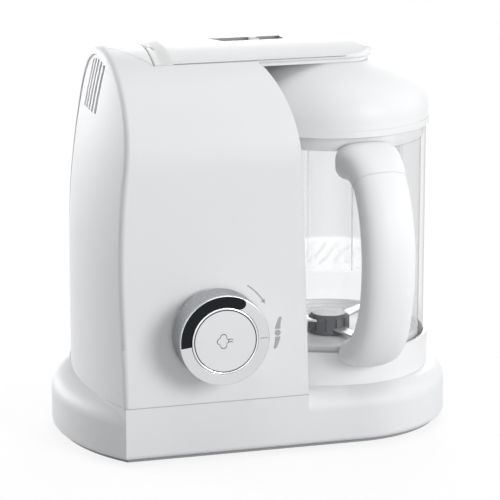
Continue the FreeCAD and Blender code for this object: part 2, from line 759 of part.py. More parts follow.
def drive():
    """The motor in the tower, the belt in the base and the spindle that turns the blades."""
    x, y = mm("motor_x"), mm("motor_y")
    low = mm("motor_bottom")
    turned("motor_can", [
        ("shaft_radius + running", "motor_bottom"), ("motor_radius - wall", "motor_bottom"),
        ("motor_radius", "motor_bottom + wall"), ("motor_radius", "motor_bottom + motor_height - wall"),
        ("motor_radius - wall", "motor_bottom + motor_height"), ("0", "motor_bottom + motor_height"),
        ("0", "motor_bottom + motor_height - wall"), ("shaft_radius + running", "motor_bottom + motor_height - wall")],
        "motor_x", "motor_y")
    ring("motor_shaft", "0", "shaft_radius", "pulley_bottom - wall",
         "motor_bottom + motor_height - wall - fit", "motor_x", "motor_y")
    reach = mm("motor_radius")
    bracket = box(x - reach, x + reach, y - reach, y + reach, low - wall, low)
    for dx in (-1, 1):
        for dy in (-1, 1):
            bracket = bracket.fuse(cylinder(wall + wall / 2, base_top, low - wall,
                                            x + dx * (reach - 2 * wall), y + dy * (reach - 2 * wall)))
    formed("motor_bracket", bracket.cut(cylinder(mm("shaft_radius") + mm("running"), 0, low, x, y)))
    pulley("drive_pulley", "pulley_small", "shaft_radius", "motor_x", "motor_y")
    pulley("driven_pulley", "pulley_large", "spindle_radius", "jug_x")
    formed("drive_belt", belt_loop(mm("fit + belt_thick")).cut(belt_loop(mm("fit"))))
    ring("drive_spindle", "0", "spindle_radius", "pulley_bottom - wall", "jug_floor + hub_height / 2", "jug_x")
    ring("spindle_bush", "spindle_radius + running", "bush_radius", "pulley_bottom + pulley_height + fit",
         "base_top", "jug_x")
    coupling_low = base_top + mm("fit")
    coupling = cylinder(mm("coupling_radius"), coupling_low, coupling_low + mm("coupling_height"), jug_x)
    for index in range(COUPLING_LOBES):
        turn = 2 * math.pi * index / COUPLING_LOBES
        coupling = coupling.cut(cylinder(wall, 0, SKY, jug_x + mm("coupling_radius") * math.cos(turn),
                                         mm("coupling_radius") * math.sin(turn)))
    formed("drive_coupling", coupling.cut(cylinder(mm("spindle_radius"), 0, SKY, jug_x)))
    blade_set()


def blade_wing(tilt, turn, height):
    """One swept steel blade, tilted about the hub's middle."""
    root, reach, thick = mm("hub_radius") / 2, mm("blade_reach"), mm("blade_thick")
    edges = [
        line((0, -root, 0), (reach, -root / 2, 0)),
        arc((reach, -root / 2, 0), (reach + root / 4, 0, 0), (reach, root / 4, 0)),
        arc((reach, root / 4, 0), (reach / 2, root / 2, 0), (0, root, 0)),
        line((0, root, 0), (0, -root, 0)),
    ]
    wing = prism(edges, Vector(0, 0, thick))
    wing.rotate(Vector(), Vector(0, 1, 0), -tilt)
    wing.rotate(Vector(), Vector(0, 0, 1), turn)
    wing.translate(Vector(jug_x, 0, height))
    return wing


def blade_set():
    """The fluted hub on the spindle with two pairs of blades through it."""
    low = mm("jug_floor + fit + running")
    high = low + mm("hub_height")
    radius = mm("hub_radius")
    hub = cylinder(radius, low, high, jug_x)
    hub = hub.makeChamfer(wall, [edge for edge in hub.Edges if edge.BoundBox.ZMin > high - 0.01])
    for index in range(HUB_FLUTES):
        turn = 2 * math.pi * index / HUB_FLUTES
        hub = hub.cut(cylinder(wall / 2, low + wall, high, jug_x + radius * math.cos(turn), radius * math.sin(turn)))
    hub = hub.cut(cylinder(mm("spindle_radius"), 0, mm("jug_floor + hub_height / 2"), jug_x))
    middle = low + mm("hub_height") / 3
    upper = middle + mm("blade_thick")
    wings = [blade_wing(UPPER_TILT, BLADE_TURN, upper), blade_wing(UPPER_TILT, BLADE_TURN + 180, upper),
             blade_wing(LOWER_TILT, BLADE_TURN + 90, middle), blade_wing(LOWER_TILT, BLADE_TURN + 270, middle)]
    disc = cylinder(radius / 2, middle - mm("blade_thick"), middle + 3 * mm("blade_thick"), jug_x)
    blades = disc.multiFuse(wings).cut(cylinder(mm("spindle_radius"), 0, SKY, jug_x))
    formed("blades", blades)
    formed("blade_hub", hub.cut(blades))


def boiler():
    """The water tank under the lid, with the ring heater and thermostat below it."""
    low = "deck_top - tank_depth"
    turned("water_tank", [
        ("0", low), ("tank_radius", low), ("tank_radius", "deck_top"), ("tank_radius + wall", "deck_top"),
        ("tank_radius + wall", "deck_top + tank_wall"), ("tank_radius - tank_wall", "deck_top + tank_wall"),
        ("tank_radius - tank_wall", f"{low} + tank_wall"), ("0", f"{low} + tank_wall")], "tank_x")
    ring("tank_heater", "tank_radius / 2", "tank_radius - wall", f"{low} - 2 * wall", low, "tank_x")
    ring("tank_thermostat", "0", "tank_radius / 3", f"{low} - 2 * wall", low, "tank_x")


def knob():
    """The mode knob with its dark window, and the steam button in its middle."""
    back, front = "base_half + fit", "base_half + fit + knob_depth"
    x, z = mm("knob_x"), mm("knob_z")
    low, high = mm(back), mm(front)
    outer, inner = mm("knob_radius"), mm("button_radius") + mm("fit")
    body = across(outer, -high, -low, x, z)
    rims = [edge for edge in body.Edges if isinstance(edge.Curve, Part.Circle)]
    body = body.makeChamfer(mm("knob_chamfer"), rims)
    body = body.cut(across(inner, -high, -low - wall, x, z))
    body = body.cut(across(mm("stem_radius") + mm("running"), -high, 0, x, z))
    lens = window_sector(x, z, inner, outer - mm("knob_chamfer + running"), high - wall / 3, high)
    formed("knob_ring", body.cut(lens))
    formed("knob_window", lens)
    ring("knob_sleeve", "stem_radius + running", "stem_radius + wall", "board_front + running", back,
         "knob_x", "0", "knob_z", FRONT_FACING)
    face = f"{front} + wall / 3"
    under = f"{front} - wall"
    ring("steam_button", "0", "button_face", under, face, "knob_x", "0", "knob_z", FRONT_FACING)
    ring("button_trim", "button_face", "button_radius", under, front, "knob_x", "0", "knob_z", FRONT_FACING)
    ring("button_stem", "0", "stem_radius", "board_front + wall + button_travel + fit", under,
         "knob_x", "0", "knob_z", FRONT_FACING)
    ring("steam_switch", "0", "stem_radius - fit", "board_front", "board_front + wall",
         "knob_x", "0", "knob_z", FRONT_FACING)
    ring("mode_switch", "stem_radius + wall + running", "button_radius - 2 * wall", "board_front",
         "board_front + 2 * wall", "knob_x", "0", "knob_z", FRONT_FACING)
    bezel = across(outer - wall, -mm("base_half"), 0, x, z).cut(arch(0))
    tube = mm("button_radius") - wall
    bezel = bezel.fuse(across(tube, -mm("base_half"), -mm("board_front"), x, z))
    formed("knob_bezel", bezel.cut(across(tube - wall, -FAR, 0, x, z)))


def window_sector(x, z, inner, outer, low, high):
    """A ring sector round the knob's axis, from a round end at the right of the top to a straight one at the left."""
    start, finish = math.radians(mm("lens_start")), math.radians(mm("lens_end"))
    middle = (start + finish) / 2
    bulge = start - (outer - inner) / (outer + inner)

    def spot(radius, angle):
        return (x + radius * math.cos(angle), -low, z + radius * math.sin(angle))

    edges = [
        arc(spot(inner, start), spot(inner, middle), spot(inner, finish)),
        line(spot(inner, finish), spot(outer, finish)),
        arc(spot(outer, finish), spot(outer, middle), spot(outer, start)),
        arc(spot(outer, start), spot((inner + outer) / 2, bulge), spot(inner, start)),
    ]
    return prism(edges, Vector(0, low - high, 0))


def electronics():
    """The control board behind the knob and the bush where the mains lead would enter."""
    x, z, front = mm("knob_x"), mm("knob_z"), mm("board_front")
    wide, tall = mm("board_width") / 2, mm("board_height")
    board = box(x - wide, x + wide, -front, -front + mm("blade_thick"), z - tall / 3, z + 2 * tall / 3)
    formed("control_board", board)
    low = mm("gland_height") + base_top
    gland = across(mm("gland_radius"), half - 4 * wall, half, -mm("base_left") / 2, low)
    gland = gland.fuse(across(mm("gland_radius") + wall, half - 4 * wall, half - 2 * wall - wall / 2,
                              -mm("base_left") / 2, low))
    formed("cord_gland", gland.cut(across(mm("gland_radius") - wall, 0, FAR, -mm("base_left") / 2, low)))


base_unit()
tower()
crown_cap()
lid()
jug()
drive()
boiler()
knob()
electronics()
doc.recompute()
print("centred by", mm("centre_shift"))

for item in doc.Objects:
    if "Invalid" in item.State or "Error" in item.State:
        raise RuntimeError(f"{item.Label} failed: {item.State}")
for piece in NODES:
    if piece.Shape.isNull() or not piece.Shape.isValid():
        raise RuntimeError(f"{piece.Label} has no valid shape")
os.makedirs("parts", exist_ok=True)
for piece in NODES:
    piece.Shape.exportStep(f"parts/{piece.Label}.step")
    print(piece.Label, len(piece.Shape.Solids), round(piece.Shape.Volume))
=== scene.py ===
import logging
import math
from dataclasses import dataclass, field
from enum import Enum
from typing import Callable, Sequence

import bmesh
import bpy
from mathutils import Matrix, Vector
from mathutils.bvhtree import BVHTree


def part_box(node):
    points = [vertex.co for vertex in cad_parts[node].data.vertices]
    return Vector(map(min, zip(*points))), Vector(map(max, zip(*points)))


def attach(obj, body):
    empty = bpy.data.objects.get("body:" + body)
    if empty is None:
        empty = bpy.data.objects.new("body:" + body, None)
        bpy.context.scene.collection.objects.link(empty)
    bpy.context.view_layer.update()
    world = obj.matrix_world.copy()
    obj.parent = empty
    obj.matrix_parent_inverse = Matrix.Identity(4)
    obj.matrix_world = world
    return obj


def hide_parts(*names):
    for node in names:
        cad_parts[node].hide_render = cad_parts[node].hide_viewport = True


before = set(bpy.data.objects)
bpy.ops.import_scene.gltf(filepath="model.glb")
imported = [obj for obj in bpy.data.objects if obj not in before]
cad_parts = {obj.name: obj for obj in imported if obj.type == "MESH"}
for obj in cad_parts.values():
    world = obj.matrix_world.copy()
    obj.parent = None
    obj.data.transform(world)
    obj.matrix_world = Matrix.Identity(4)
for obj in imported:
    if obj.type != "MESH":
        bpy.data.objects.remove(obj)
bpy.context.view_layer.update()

MM = 0.001
FAR = 1.0  # metres from the part, where rays start
NOISE_DETAIL = 3.0  # octaves of every noise
SMOOTH_ANGLE = math.radians(35.0)  # edges sharper than this stay sharp
TURNING_STEPS = 128  # corners of a turned ring
log = logging.getLogger("baby_food_maker")

Point = tuple[float, float]
Placing = Callable[[float, float, float], Vector]


class Slot(Enum):
    """Names of the record's material slots."""

    WHITE = "white_shell"
    CLEAR = "clear_jug"
    BASKET = "frosted_basket"
    DARK = "dark_plastic"
    RING = "silver_ring"
    CHROME = "chrome_trim"


class Body(Enum):
    """The moving bodies that new pieces ride on."""

    HOUSING = "housing"
    LID = "lid"
    LATCH = "latch"
    JUG = "jug"
    KNOB = "knob"
    BUTTON = "button"


class Grain(Enum):
    """How a finish breaks up under a close look, as the stretch of its noise along X, Y and Z."""

    MOULDED = (1.0, 1.0, 1.0)
    BRUSHED = (0.04, 1.0, 1.0)
    SPUN = (1.0, 0.08, 1.0)


@dataclass(frozen=True)
class Surface:
    """A finish that turns into a node material on demand.

    Args:
        name: name of the material.
        colour: linear colour.
        roughness: middle of the roughness range.
    """

    name: str
    colour: tuple[float, float, float]
    roughness: float = 0.4

    def material(self) -> bpy.types.Material:
        """Hand back the material, made on the first call.

        Returns:
            The material that carries this finish.
        """
        made = bpy.data.materials.get(self.name)
        if made is None:
            made = bpy.data.materials.new(self.name)
            made.use_nodes = True
            self.paint(made.node_tree)
        return made

    def paint(self, tree: bpy.types.NodeTree) -> None:
        """Lay the shader nodes out.

        Args:
            tree: the material's node tree.
        """
        raise NotImplementedError

    @staticmethod
    def noise(tree: bpy.types.NodeTree, scale: float, stretch: Sequence[float]) -> bpy.types.Node:
        """Add a noise in object coordinates.

        Args:
            tree: the material's node tree.
            scale: features per metre.
            stretch: scale along each axis.

        Returns:
            The noise node.
        """
        place = tree.nodes.new("ShaderNodeTexCoord")
        mapping = tree.nodes.new("ShaderNodeMapping")
        mapping.inputs["Scale"].default_value = tuple(stretch)
        made = tree.nodes.new("ShaderNodeTexNoise")
        made.inputs["Scale"].default_value = scale
        made.inputs["Detail"].default_value = NOISE_DETAIL
        tree.links.new(place.outputs["Object"], mapping.inputs["Vector"])
        tree.links.new(mapping.outputs["Vector"], made.inputs["Vector"])
        return made

    @staticmethod
    def spread(tree: bpy.types.NodeTree, source: bpy.types.NodeSocket, low: float,
               high: float) -> bpy.types.NodeSocket:
        """Map a noise onto a range of values.

        Args:
            tree: the material's node tree.
            source: the noise's output.
            low: value at the noise's 0.
            high: value at the noise's 1.

        Returns:
            The mapped output.
        """
        span = tree.nodes.new("ShaderNodeMapRange")
        span.inputs["To Min"].default_value = low
        span.inputs["To Max"].default_value = high
        tree.links.new(source, span.inputs["Value"])
        return span.outputs["Result"]


@dataclass(frozen=True)
class Finish(Surface):
    """An opaque plastic, rubber or metal.

    Args:
        metallic: 0 for plastics, 1 for metals.
        coat: weight of the clear coat.
        shine: level of the mirror-like share.
        grain: how the surface breaks up.
        grain_scale: features of the grain per metre.
        relief: height of the grain's bump, in metres.
        wander: share by which the colour wanders, and half the share by which the roughness does.
        edge: radius of the softened edges, in metres.
        edge_samples: number of samples that soften an edge.
        coat_roughness: roughness of the clear coat.
        cloud_scale: features of the wandering colour per metre.
        cloud_stops: where the wandering colour starts and ends, from 0 to 1.
        bump: strength of the grain's bump.
    """

    metallic: float = 0.0
    coat: float = 0.0
    shine: float = 0.5
    grain: Grain = Grain.MOULDED
    grain_scale: float = 1400.0
    relief: float = 0.01 * MM
    wander: float = 0.03
    edge: float = 0.5 * MM
    edge_samples: int = 4
    coat_roughness: float = 0.1
    cloud_scale: float = 16.0
    cloud_stops: tuple[float, float] = (0.3, 0.7)
    bump: float = 0.3

    def paint(self, tree: bpy.types.NodeTree) -> None:
        """Lay out a principled shader with wandering colour, gloss, grain and soft edges.

        Args:
            tree: the material's node tree.
        """
        nodes, links = tree.nodes, tree.links
        shader = nodes["Principled BSDF"]
        shader.inputs["Metallic"].default_value = self.metallic
        shader.inputs["Coat Weight"].default_value = self.coat
        shader.inputs["Specular IOR Level"].default_value = self.shine
        shader.inputs["Coat Roughness"].default_value = self.coat_roughness
        cloud = self.noise(tree, self.cloud_scale, Grain.MOULDED.value)
        ramp = nodes.new("ShaderNodeValToRGB")
        shares = (1.0 - self.wander, 1.0 + self.wander)
        for stop, share, position in zip(ramp.color_ramp.elements, shares, self.cloud_stops):
            stop.color = (*[min(1.0, channel * share) for channel in self.colour], 1.0)
            stop.position = position
        links.new(cloud.outputs["Fac"], ramp.inputs["Fac"])
        links.new(ramp.outputs["Color"], shader.inputs["Base Color"])
        grain = self.noise(tree, self.grain_scale, self.grain.value)
        swing = 2.0 * self.wander
        gloss = self.spread(tree, grain.outputs["Fac"], self.roughness * (1 - swing),
                            self.roughness * (1 + swing))
        links.new(gloss, shader.inputs["Roughness"])
        soft = nodes.new("ShaderNodeBevel")
        soft.samples = self.edge_samples
        soft.inputs["Radius"].default_value = self.edge
        bump = nodes.new("ShaderNodeBump")
        bump.inputs["Strength"].default_value = self.bump
        bump.inputs["Distance"].default_value = self.relief
        links.new(soft.outputs["Normal"], bump.inputs["Normal"])
        links.new(grain.outputs["Fac"], bump.inputs["Height"])
        links.new(bump.outputs["Normal"], shader.inputs["Normal"])


@dataclass(frozen=True)
class ClearFinish(Surface):
    """A thin clear or frosted wall that lets light through.

    Args:
        painted_edge_shade: painted shade, the grey that the wall takes on where it is seen edge on, standing
            in for refraction at its thick edges.
        rim_start: how far edge on the wall is seen where the painted grey sets in, from 0 to 1.
        haze: share of light that the wall scatters.
        gloss: largest share of light that it mirrors.
        ior: index of refraction, which sets how soon it mirrors.
        facing: blend of the measure of how far edge on the wall is seen.
        haze_scale: features of the haze per metre.
        haze_swing: share by which the haze wanders.
        ripple_scale: features of the gloss's ripple per metre.
        ripple_swing: share by which the roughness wanders.
        ripple_bump: strength of the ripple's bump.
        ripple_height: height of the ripple, in metres.
    """

    painted_edge_shade: float = 0.62
    rim_start: float = 0.8
    haze: float = 0.0
    gloss: float = 0.55
    ior: float = 1.36
    facing: float = 0.5
    haze_scale: float = 30.0
    haze_swing: float = 0.1
    ripple_scale: float = 220.0
    ripple_swing: float = 0.2
    ripple_bump: float = 0.1
    ripple_height: float = 0.02 * MM

    def paint(self, tree: bpy.types.NodeTree) -> None:
        """Lay out a see-through wall with painted grey edge shade that stands in for refraction, a little
        haze and a clear gloss.

        Args:
            tree: the material's node tree.
        """
        nodes, links = tree.nodes, tree.links
        nodes.remove(nodes["Principled BSDF"])
        facing = nodes.new("ShaderNodeLayerWeight")
        facing.inputs["Blend"].default_value = self.facing
        # painted shade: the ramp greys the see-through colour where the wall is seen edge on, standing in for
        # refraction
        ramp = nodes.new("ShaderNodeValToRGB")
        ramp.color_ramp.elements[0].position = self.rim_start
        ramp.color_ramp.elements[0].color = (*self.colour, 1.0)
        ramp.color_ramp.elements[1].color = (*[channel * self.painted_edge_shade for channel in self.colour], 1.0)
        links.new(facing.outputs["Facing"], ramp.inputs["Fac"])
        through = nodes.new("ShaderNodeBsdfTransparent")
        links.new(ramp.outputs["Color"], through.inputs["Color"])
        bright = nodes.new("ShaderNodeBsdfDiffuse")
        bright.inputs["Color"].default_value = (*self.colour, 1.0)
        passing = nodes.new("ShaderNodeBsdfTranslucent")
        passing.inputs["Color"].default_value = (*self.colour, 1.0)
        scatter = nodes.new("ShaderNodeMixShader")
        links.new(bright.outputs["BSDF"], scatter.inputs[1])
        links.new(passing.outputs["BSDF"], scatter.inputs[2])
        cloud = self.noise(tree, self.haze_scale, Grain.MOULDED.value)
        milk = nodes.new("ShaderNodeMixShader")
        share = self.spread(tree, cloud.outputs["Fac"], self.haze * (1 - self.haze_swing),
                            self.haze * (1 + self.haze_swing))
        links.new(share, milk.inputs["Fac"])
        links.new(through.outputs["BSDF"], milk.inputs[1])
        links.new(scatter.outputs["Shader"], milk.inputs[2])
        shine = nodes.new("ShaderNodeBsdfGlossy")
        ripple = self.noise(tree, self.ripple_scale, Grain.MOULDED.value)
        gloss = self.spread(tree, ripple.outputs["Fac"], self.roughness * (1 - self.ripple_swing),
                            self.roughness * (1 + self.ripple_swing))
        links.new(gloss, shine.inputs["Roughness"])
        wave = nodes.new("ShaderNodeBump")
        wave.inputs["Strength"].default_value = self.ripple_bump
        wave.inputs["Distance"].default_value = self.ripple_height
        links.new(ripple.outputs["Fac"], wave.inputs["Height"])
        links.new(wave.outputs["Normal"], shine.inputs["Normal"])
        mirror = nodes.new("ShaderNodeFresnel")
        mirror.inputs["IOR"].default_value = self.ior
        top = nodes.new("ShaderNodeMath")
        top.operation = "MINIMUM"
        top.inputs[1].default_value = self.gloss
        links.new(mirror.outputs["Fac"], top.inputs[0])
        whole = nodes.new("ShaderNodeMixShader")
        links.new(top.outputs["Value"], whole.inputs["Fac"])
        links.new(milk.outputs["Shader"], whole.inputs[1])
        links.new(shine.outputs["BSDF"], whole.inputs[2])
        links.new(whole.outputs["Shader"], nodes["Material Output"].inputs["Surface"])


WHITE_SHELL = Finish("white moulded shell", (0.78, 0.785, 0.795), 0.42, shine=0.25, wander=0.01)
WHITE_LID = Finish("white lid", (0.81, 0.815, 0.82), 0.44, shine=0.25, coat=0.03, wander=0.01)
WHITE_TOP = Finish("white lid top", (0.81, 0.815, 0.82), 0.4, shine=0.3, wander=0.01, edge=2.5 * MM)
WHITE_GRIP = Finish("white grip", (0.84, 0.845, 0.85), 0.48, shine=0.3, wander=0.01)
WHITE_NYLON = Finish("white nylon", (0.74, 0.745, 0.75), 0.5)
DARK_COVER = Finish("shadow grey cover", (0.3, 0.31, 0.32), 0.55)
# painted shade: the clear walls' grey edges stand in for refraction
CLEAR_JUG = ClearFinish("clear jug", (0.983, 0.985, 0.988), 0.03, painted_edge_shade=0.66, gloss=0.3)
FROSTED = ClearFinish("frosted basket", (0.988, 0.988, 0.987), 0.2, painted_edge_shade=0.96, haze=0.05, gloss=0.05)
RIB = ClearFinish("basket rib", (0.97, 0.972, 0.975), 0.3, painted_edge_shade=0.97, haze=0.3, gloss=0.04)
MILKY = Finish("milky rim", (0.94, 0.943, 0.947), 0.35, shine=0.3, wander=0.01)
FROSTED_FLOOR = Finish("frosted floor", (0.93, 0.932, 0.935), 0.45, shine=0.2, wander=0.01)
RUBBER = Finish("grey rubber", (0.16, 0.165, 0.17), 0.75, relief=0.03 * MM)
SILICONE = Finish("pale silicone", (0.72, 0.73, 0.74), 0.55)
BLADE = Finish("satin blade", (0.6, 0.605, 0.61), 0.4, metallic=0.9, grain=Grain.BRUSHED, wander=0.03)
STEEL = Finish("brushed steel", (0.62, 0.63, 0.64), 0.24, metallic=1.0, grain=Grain.BRUSHED, wander=0.05)
ALLOY = Finish("cast alloy", (0.55, 0.56, 0.57), 0.42, metallic=1.0, wander=0.06)
BRONZE = Finish("turned bronze", (0.53, 0.36, 0.17), 0.35, metallic=1.0, grain=Grain.SPUN)
MOTOR = Finish("motor paint", (0.08, 0.085, 0.095), 0.5)
BELT = Finish("black belt", (0.015, 0.015, 0.016), 0.7, wander=0.1)
NYLON = Finish("dark nylon", (0.095, 0.097, 0.107), 0.42, relief=0.03 * MM)
BOARD = Finish("board green", (0.02, 0.12, 0.05), 0.4)
SATIN_RING = Finish("satin ring", (0.65, 0.655, 0.67), 0.24, metallic=1.0, grain=Grain.SPUN, wander=0.04)
KNURL = Finish("knurled side", (0.4, 0.405, 0.42), 0.36, metallic=1.0, grain=Grain.SPUN, wander=0.06)
CHROME = Finish("bright chrome", (0.83, 0.835, 0.85), 0.15, metallic=1.0, wander=0.02)
SATIN_FACE = Finish("satin button", (0.63, 0.635, 0.65), 0.38, metallic=0.7, grain=Grain.BRUSHED, wander=0.02)
BLACK_WINDOW = Finish("black window", (0.012, 0.015, 0.017), 0.3, shine=0.08)
# painted shade: a near-black that stands in for the shadow in the gap round the button
PAINTED_GROOVE_SHADE = Finish("painted groove shade", (0.02, 0.02, 0.022), 0.6)
PRINT_GREY = Finish("grey print", (0.38, 0.385, 0.395), 0.5)
PRINT_DARK = Finish("dark print", (0.2, 0.2, 0.205), 0.5)
SCREEN = Finish("vent screen", (0.6, 0.605, 0.615), 0.55)
# painted shade: a dark grey that stands in for the shade inside the latch's slot and under the lid's front
# edge
PAINTED_SHADE = Finish("painted slot and edge shade", (0.26, 0.265, 0.275), 0.55)
# painted shade: a mid grey that stands in for the shade of the crease between front panel and base
PAINTED_SEAM_SHADE = Finish("painted seam shade", (0.5, 0.505, 0.515), 0.5)


def dress(target: bpy.types.Object, surface: Surface) -> None:
    """Give an object one finish.

    Args:
        target: the mesh object to dress.
        surface: the finish that it gets.
    """
    target.data.materials.clear()
    target.data.materials.append(surface.material())


@dataclass
class Sheet:
    """A mesh in the making: corners and faces of one new piece.

    Args:
        name: name of the piece.
        corners: its corners so far, in metres.
        faces: its faces so far, as indices of corners.
    """

    name: str
    corners: list[Vector] = field(default_factory=list)
    faces: list[tuple[int, ...]] = field(default_factory=list)

    def loop(self, points: Sequence[Vector]) -> range:
        """Add a row of corners.

        Args:
            points: the corners in order.

        Returns:
            Their indices.
        """
        first = len(self.corners)
        self.corners.extend(points)
        return range(first, len(self.corners))

    def bridge(self, low: Sequence[int], high: Sequence[int]) -> None:
        """Join two closed rows of corners with a band of faces.

        Args:
            low: indices of the first row.
            high: indices of the second row.
        """
        count = len(low)
        for index in range(count):
            after = (index + 1) % count
            self.faces.append((low[index], low[after], high[after], high[index]))

    def plate(self, outline: Sequence[Point], place: Placing, height: float) -> None:
        """Add a thin plate with a closed outline.

        Args:
            outline: corners of the outline, in metres.
            place: puts a flat point and a height onto the carrying face.
            height: thickness of the plate in metres.
        """
        low = self.loop([place(u, v, 0.0) for u, v in outline])
        high = self.loop([place(u, v, height) for u, v in outline])
        self.bridge(low, high)
        self.faces.extend((tuple(high), tuple(reversed(low))))

    def band(self, outer: Sequence[Point], inner: Sequence[Point], place: Placing, height: float) -> None:
        """Add a thin closed band between two outlines with as many corners.

        Args:
            outer: corners of the outer outline, in metres.
            inner: corners of the inner outline, in metres.
            place: puts a flat point and a height onto the carrying face.
            height: thickness of the band in metres.
        """
        foot = self.loop([place(u, v, 0.0) for u, v in outer])
        edge = self.loop([place(u, v, height) for u, v in outer])
        brink = self.loop([place(u, v, height) for u, v in inner])
        hole = self.loop([place(u, v, 0.0) for u, v in inner])
        self.bridge(foot, edge)
        self.bridge(edge, brink)
        self.bridge(brink, hole)
        self.bridge(hole, foot)

    def lathe(self, profile: Sequence[Point], place: Placing) -> None:
        """Turn a closed profile of radius and height about an axis.

        Args:
            profile: corners of the closed profile, in metres.
            place: puts a flat point and a height into space.
        """
        rings = []
        for radius, height in profile:
            spots = circle((0.0, 0.0), radius, TURNING_STEPS)
            rings.append(self.loop([place(u, v, height) for u, v in spots]))
        for low, high in zip(rings, rings[1:] + rings[:1]):
            self.bridge(low, high)

    def piece(self, surface: Surface, body: Body, slot: Slot, flat: bool = False) -> bpy.types.Object:
        """Turn the mesh into a finished piece that rides on a body, with closed shells facing outwards.

        Args:
            surface: its finish.
            body: the body that it rides on.
            slot: the record's material slot, handed on to adopt.
            flat: whether its faces are shaded flat.

        Returns:
            The new object.
        """
        mesh = bpy.data.meshes.new(self.name)
        mesh.from_pydata([tuple(corner) for corner in self.corners], [], self.faces)
        mesh.validate()
        shell = bmesh.new()
        shell.from_mesh(mesh)
        if all(edge.is_manifold for edge in shell.edges):
            bmesh.ops.recalc_face_normals(shell, faces=shell.faces)
            shell.to_mesh(mesh)
        shell.free()
        return adopt(self.name, mesh, surface, body, slot, flat)


def adopt(name: str, mesh: bpy.types.Mesh, surface: Surface, body: Body, slot: Slot,
          flat: bool = False) -> bpy.types.Object:
    """Link a finished mesh as a piece of a body.

    Args:
        name: name of the piece.
        mesh: its mesh, in place.
        surface: its finish.
        body: the body that it rides on.
        slot: the record's material slot; not used.
        flat: whether its faces are shaded flat.

    Returns:
        The new object.
    """
    made = bpy.data.objects.new(name, mesh)
    bpy.context.scene.collection.objects.link(made)
    mesh.polygons.foreach_set("use_smooth", [not flat] * len(mesh.polygons))
    if not flat:
        mesh.set_sharp_from_angle(angle=SMOOTH_ANGLE)
    dress(made, surface)
    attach(made, body.value)
    log.info("piece %s: %d faces on %s", name, len(mesh.polygons), body.value)
    return made


def circle(centre: Point, radius: float, steps: int) -> list[Point]:
    """The corners of a round outline.

    Args:
        centre: its middle.
        radius: its radius.
        steps: its number of corners.

    Returns:
        The corners in order.
    """
    turns = [2 * math.pi * step / steps for step in range(steps)]
    return [(centre[0] + radius * math.cos(turn), centre[1] + radius * math.sin(turn)) for turn in turns]


def stroke(points: Sequence[Point], width: float) -> list[Point]:
    """The outline of an open stroke of even width.

    Args:
        points: the stroke's middle line.
        width: its width.

    Returns:
        A closed outline round the stroke.
    """
    left, right = [], []
    for index, (u, v) in enumerate(points):
        before, after = points[max(0, index - 1)], points[min(len(points) - 1, index + 1)]
        run = Vector((after[0] - before[0], after[1] - before[1])).normalized() * width / 2
        left.append((u - run.y, v + run.x))
        right.append((u + run.y, v - run.x))
    return left + right[::-1]


@dataclass
class RadialRibs:
    """Ribs that repeat round an axis, instanced by geometry nodes.

    Args:
        count: number of ribs.
        radius: radius of the ring that their middles stand on, in metres.
        length: length of a rib along the axis, in metres.
        rib: radius of a rib, in metres.
        sides: number of sides of a rib.
    """

    count: int
    radius: float
    length: float
    rib: float
    sides: int = 8

    def mesh(self, name: str, surface: Surface, place: Matrix) -> bpy.types.Mesh:
        """Evaluate the ribs and move them into place.

        Args:
            name: name of the mesh.
            surface: finish that the group sets.
            place: where the ring's middle and axis go.

        Returns:
            A real mesh of all ribs.
        """
        host = bpy.data.objects.new(name + " host", bpy.data.meshes.new(name + " host"))
        bpy.context.scene.collection.objects.link(host)
        repeat = host.modifiers.new("ribs", "NODES")
        repeat.node_group = self.group()
        values = {"Count": self.count, "Radius": self.radius, "Length": self.length, "Rib": self.rib,
                  "Sides": self.sides, "Material": surface.material()}
        for item in repeat.node_group.interface.items_tree:
            if item.in_out == "INPUT" and item.name in values:
                repeat[item.identifier] = values[item.name]
        seen = host.evaluated_get(bpy.context.evaluated_depsgraph_get())
        made = bpy.data.meshes.new_from_object(seen)
        made.transform(place)
        host.modifiers.remove(repeat)
        bpy.data.objects.remove(host)
        return made

    @staticmethod
    def group() -> bpy.types.NodeTree:
        """Build the node group once.

        Returns:
            The node group with its named inputs.
        """
        name = "radial ribs"
        known = bpy.data.node_groups.get(name)
        if known is not None:
            return known
        tree = bpy.data.node_groups.new(name, "GeometryNodeTree")
        inputs = (("Geometry", "NodeSocketGeometry"), ("Count", "NodeSocketInt"),
                  ("Radius", "NodeSocketFloat"), ("Length", "NodeSocketFloat"), ("Rib", "NodeSocketFloat"),
                  ("Sides", "NodeSocketInt"), ("Material", "NodeSocketMaterial"))
        for label, kind in inputs:
            tree.interface.new_socket(label, in_out="INPUT", socket_type=kind)
        tree.interface.new_socket("Geometry", in_out="OUTPUT", socket_type="NodeSocketGeometry")
        given, result = tree.nodes.new("NodeGroupInput"), tree.nodes.new("NodeGroupOutput")
        ring = tree.nodes.new("GeometryNodeMeshCircle")
        bar = tree.nodes.new("GeometryNodeMeshCylinder")
        spots = tree.nodes.new("GeometryNodeInstanceOnPoints")
        real = tree.nodes.new("GeometryNodeRealizeInstances")
        painted = tree.nodes.new("GeometryNodeSetMaterial")
        wiring = ((given, "Count", ring, "Vertices"), (given, "Radius", ring, "Radius"),
                  (given, "Sides", bar, "Vertices"), (given, "Rib", bar, "Radius"),
                  (given, "Length", bar, "Depth"),
                  (ring, "Mesh", spots, "Points"), (bar, "Mesh", spots, "Instance"),
                  (spots, "Instances", real, "Geometry"), (real, "Geometry", painted, "Geometry"),
                  (given, "Material", painted, "Material"), (painted, "Geometry", result, "Geometry"))
        for source, output, target, entry in wiring:
            tree.links.new(source.outputs[output], target.inputs[entry])
        return tree


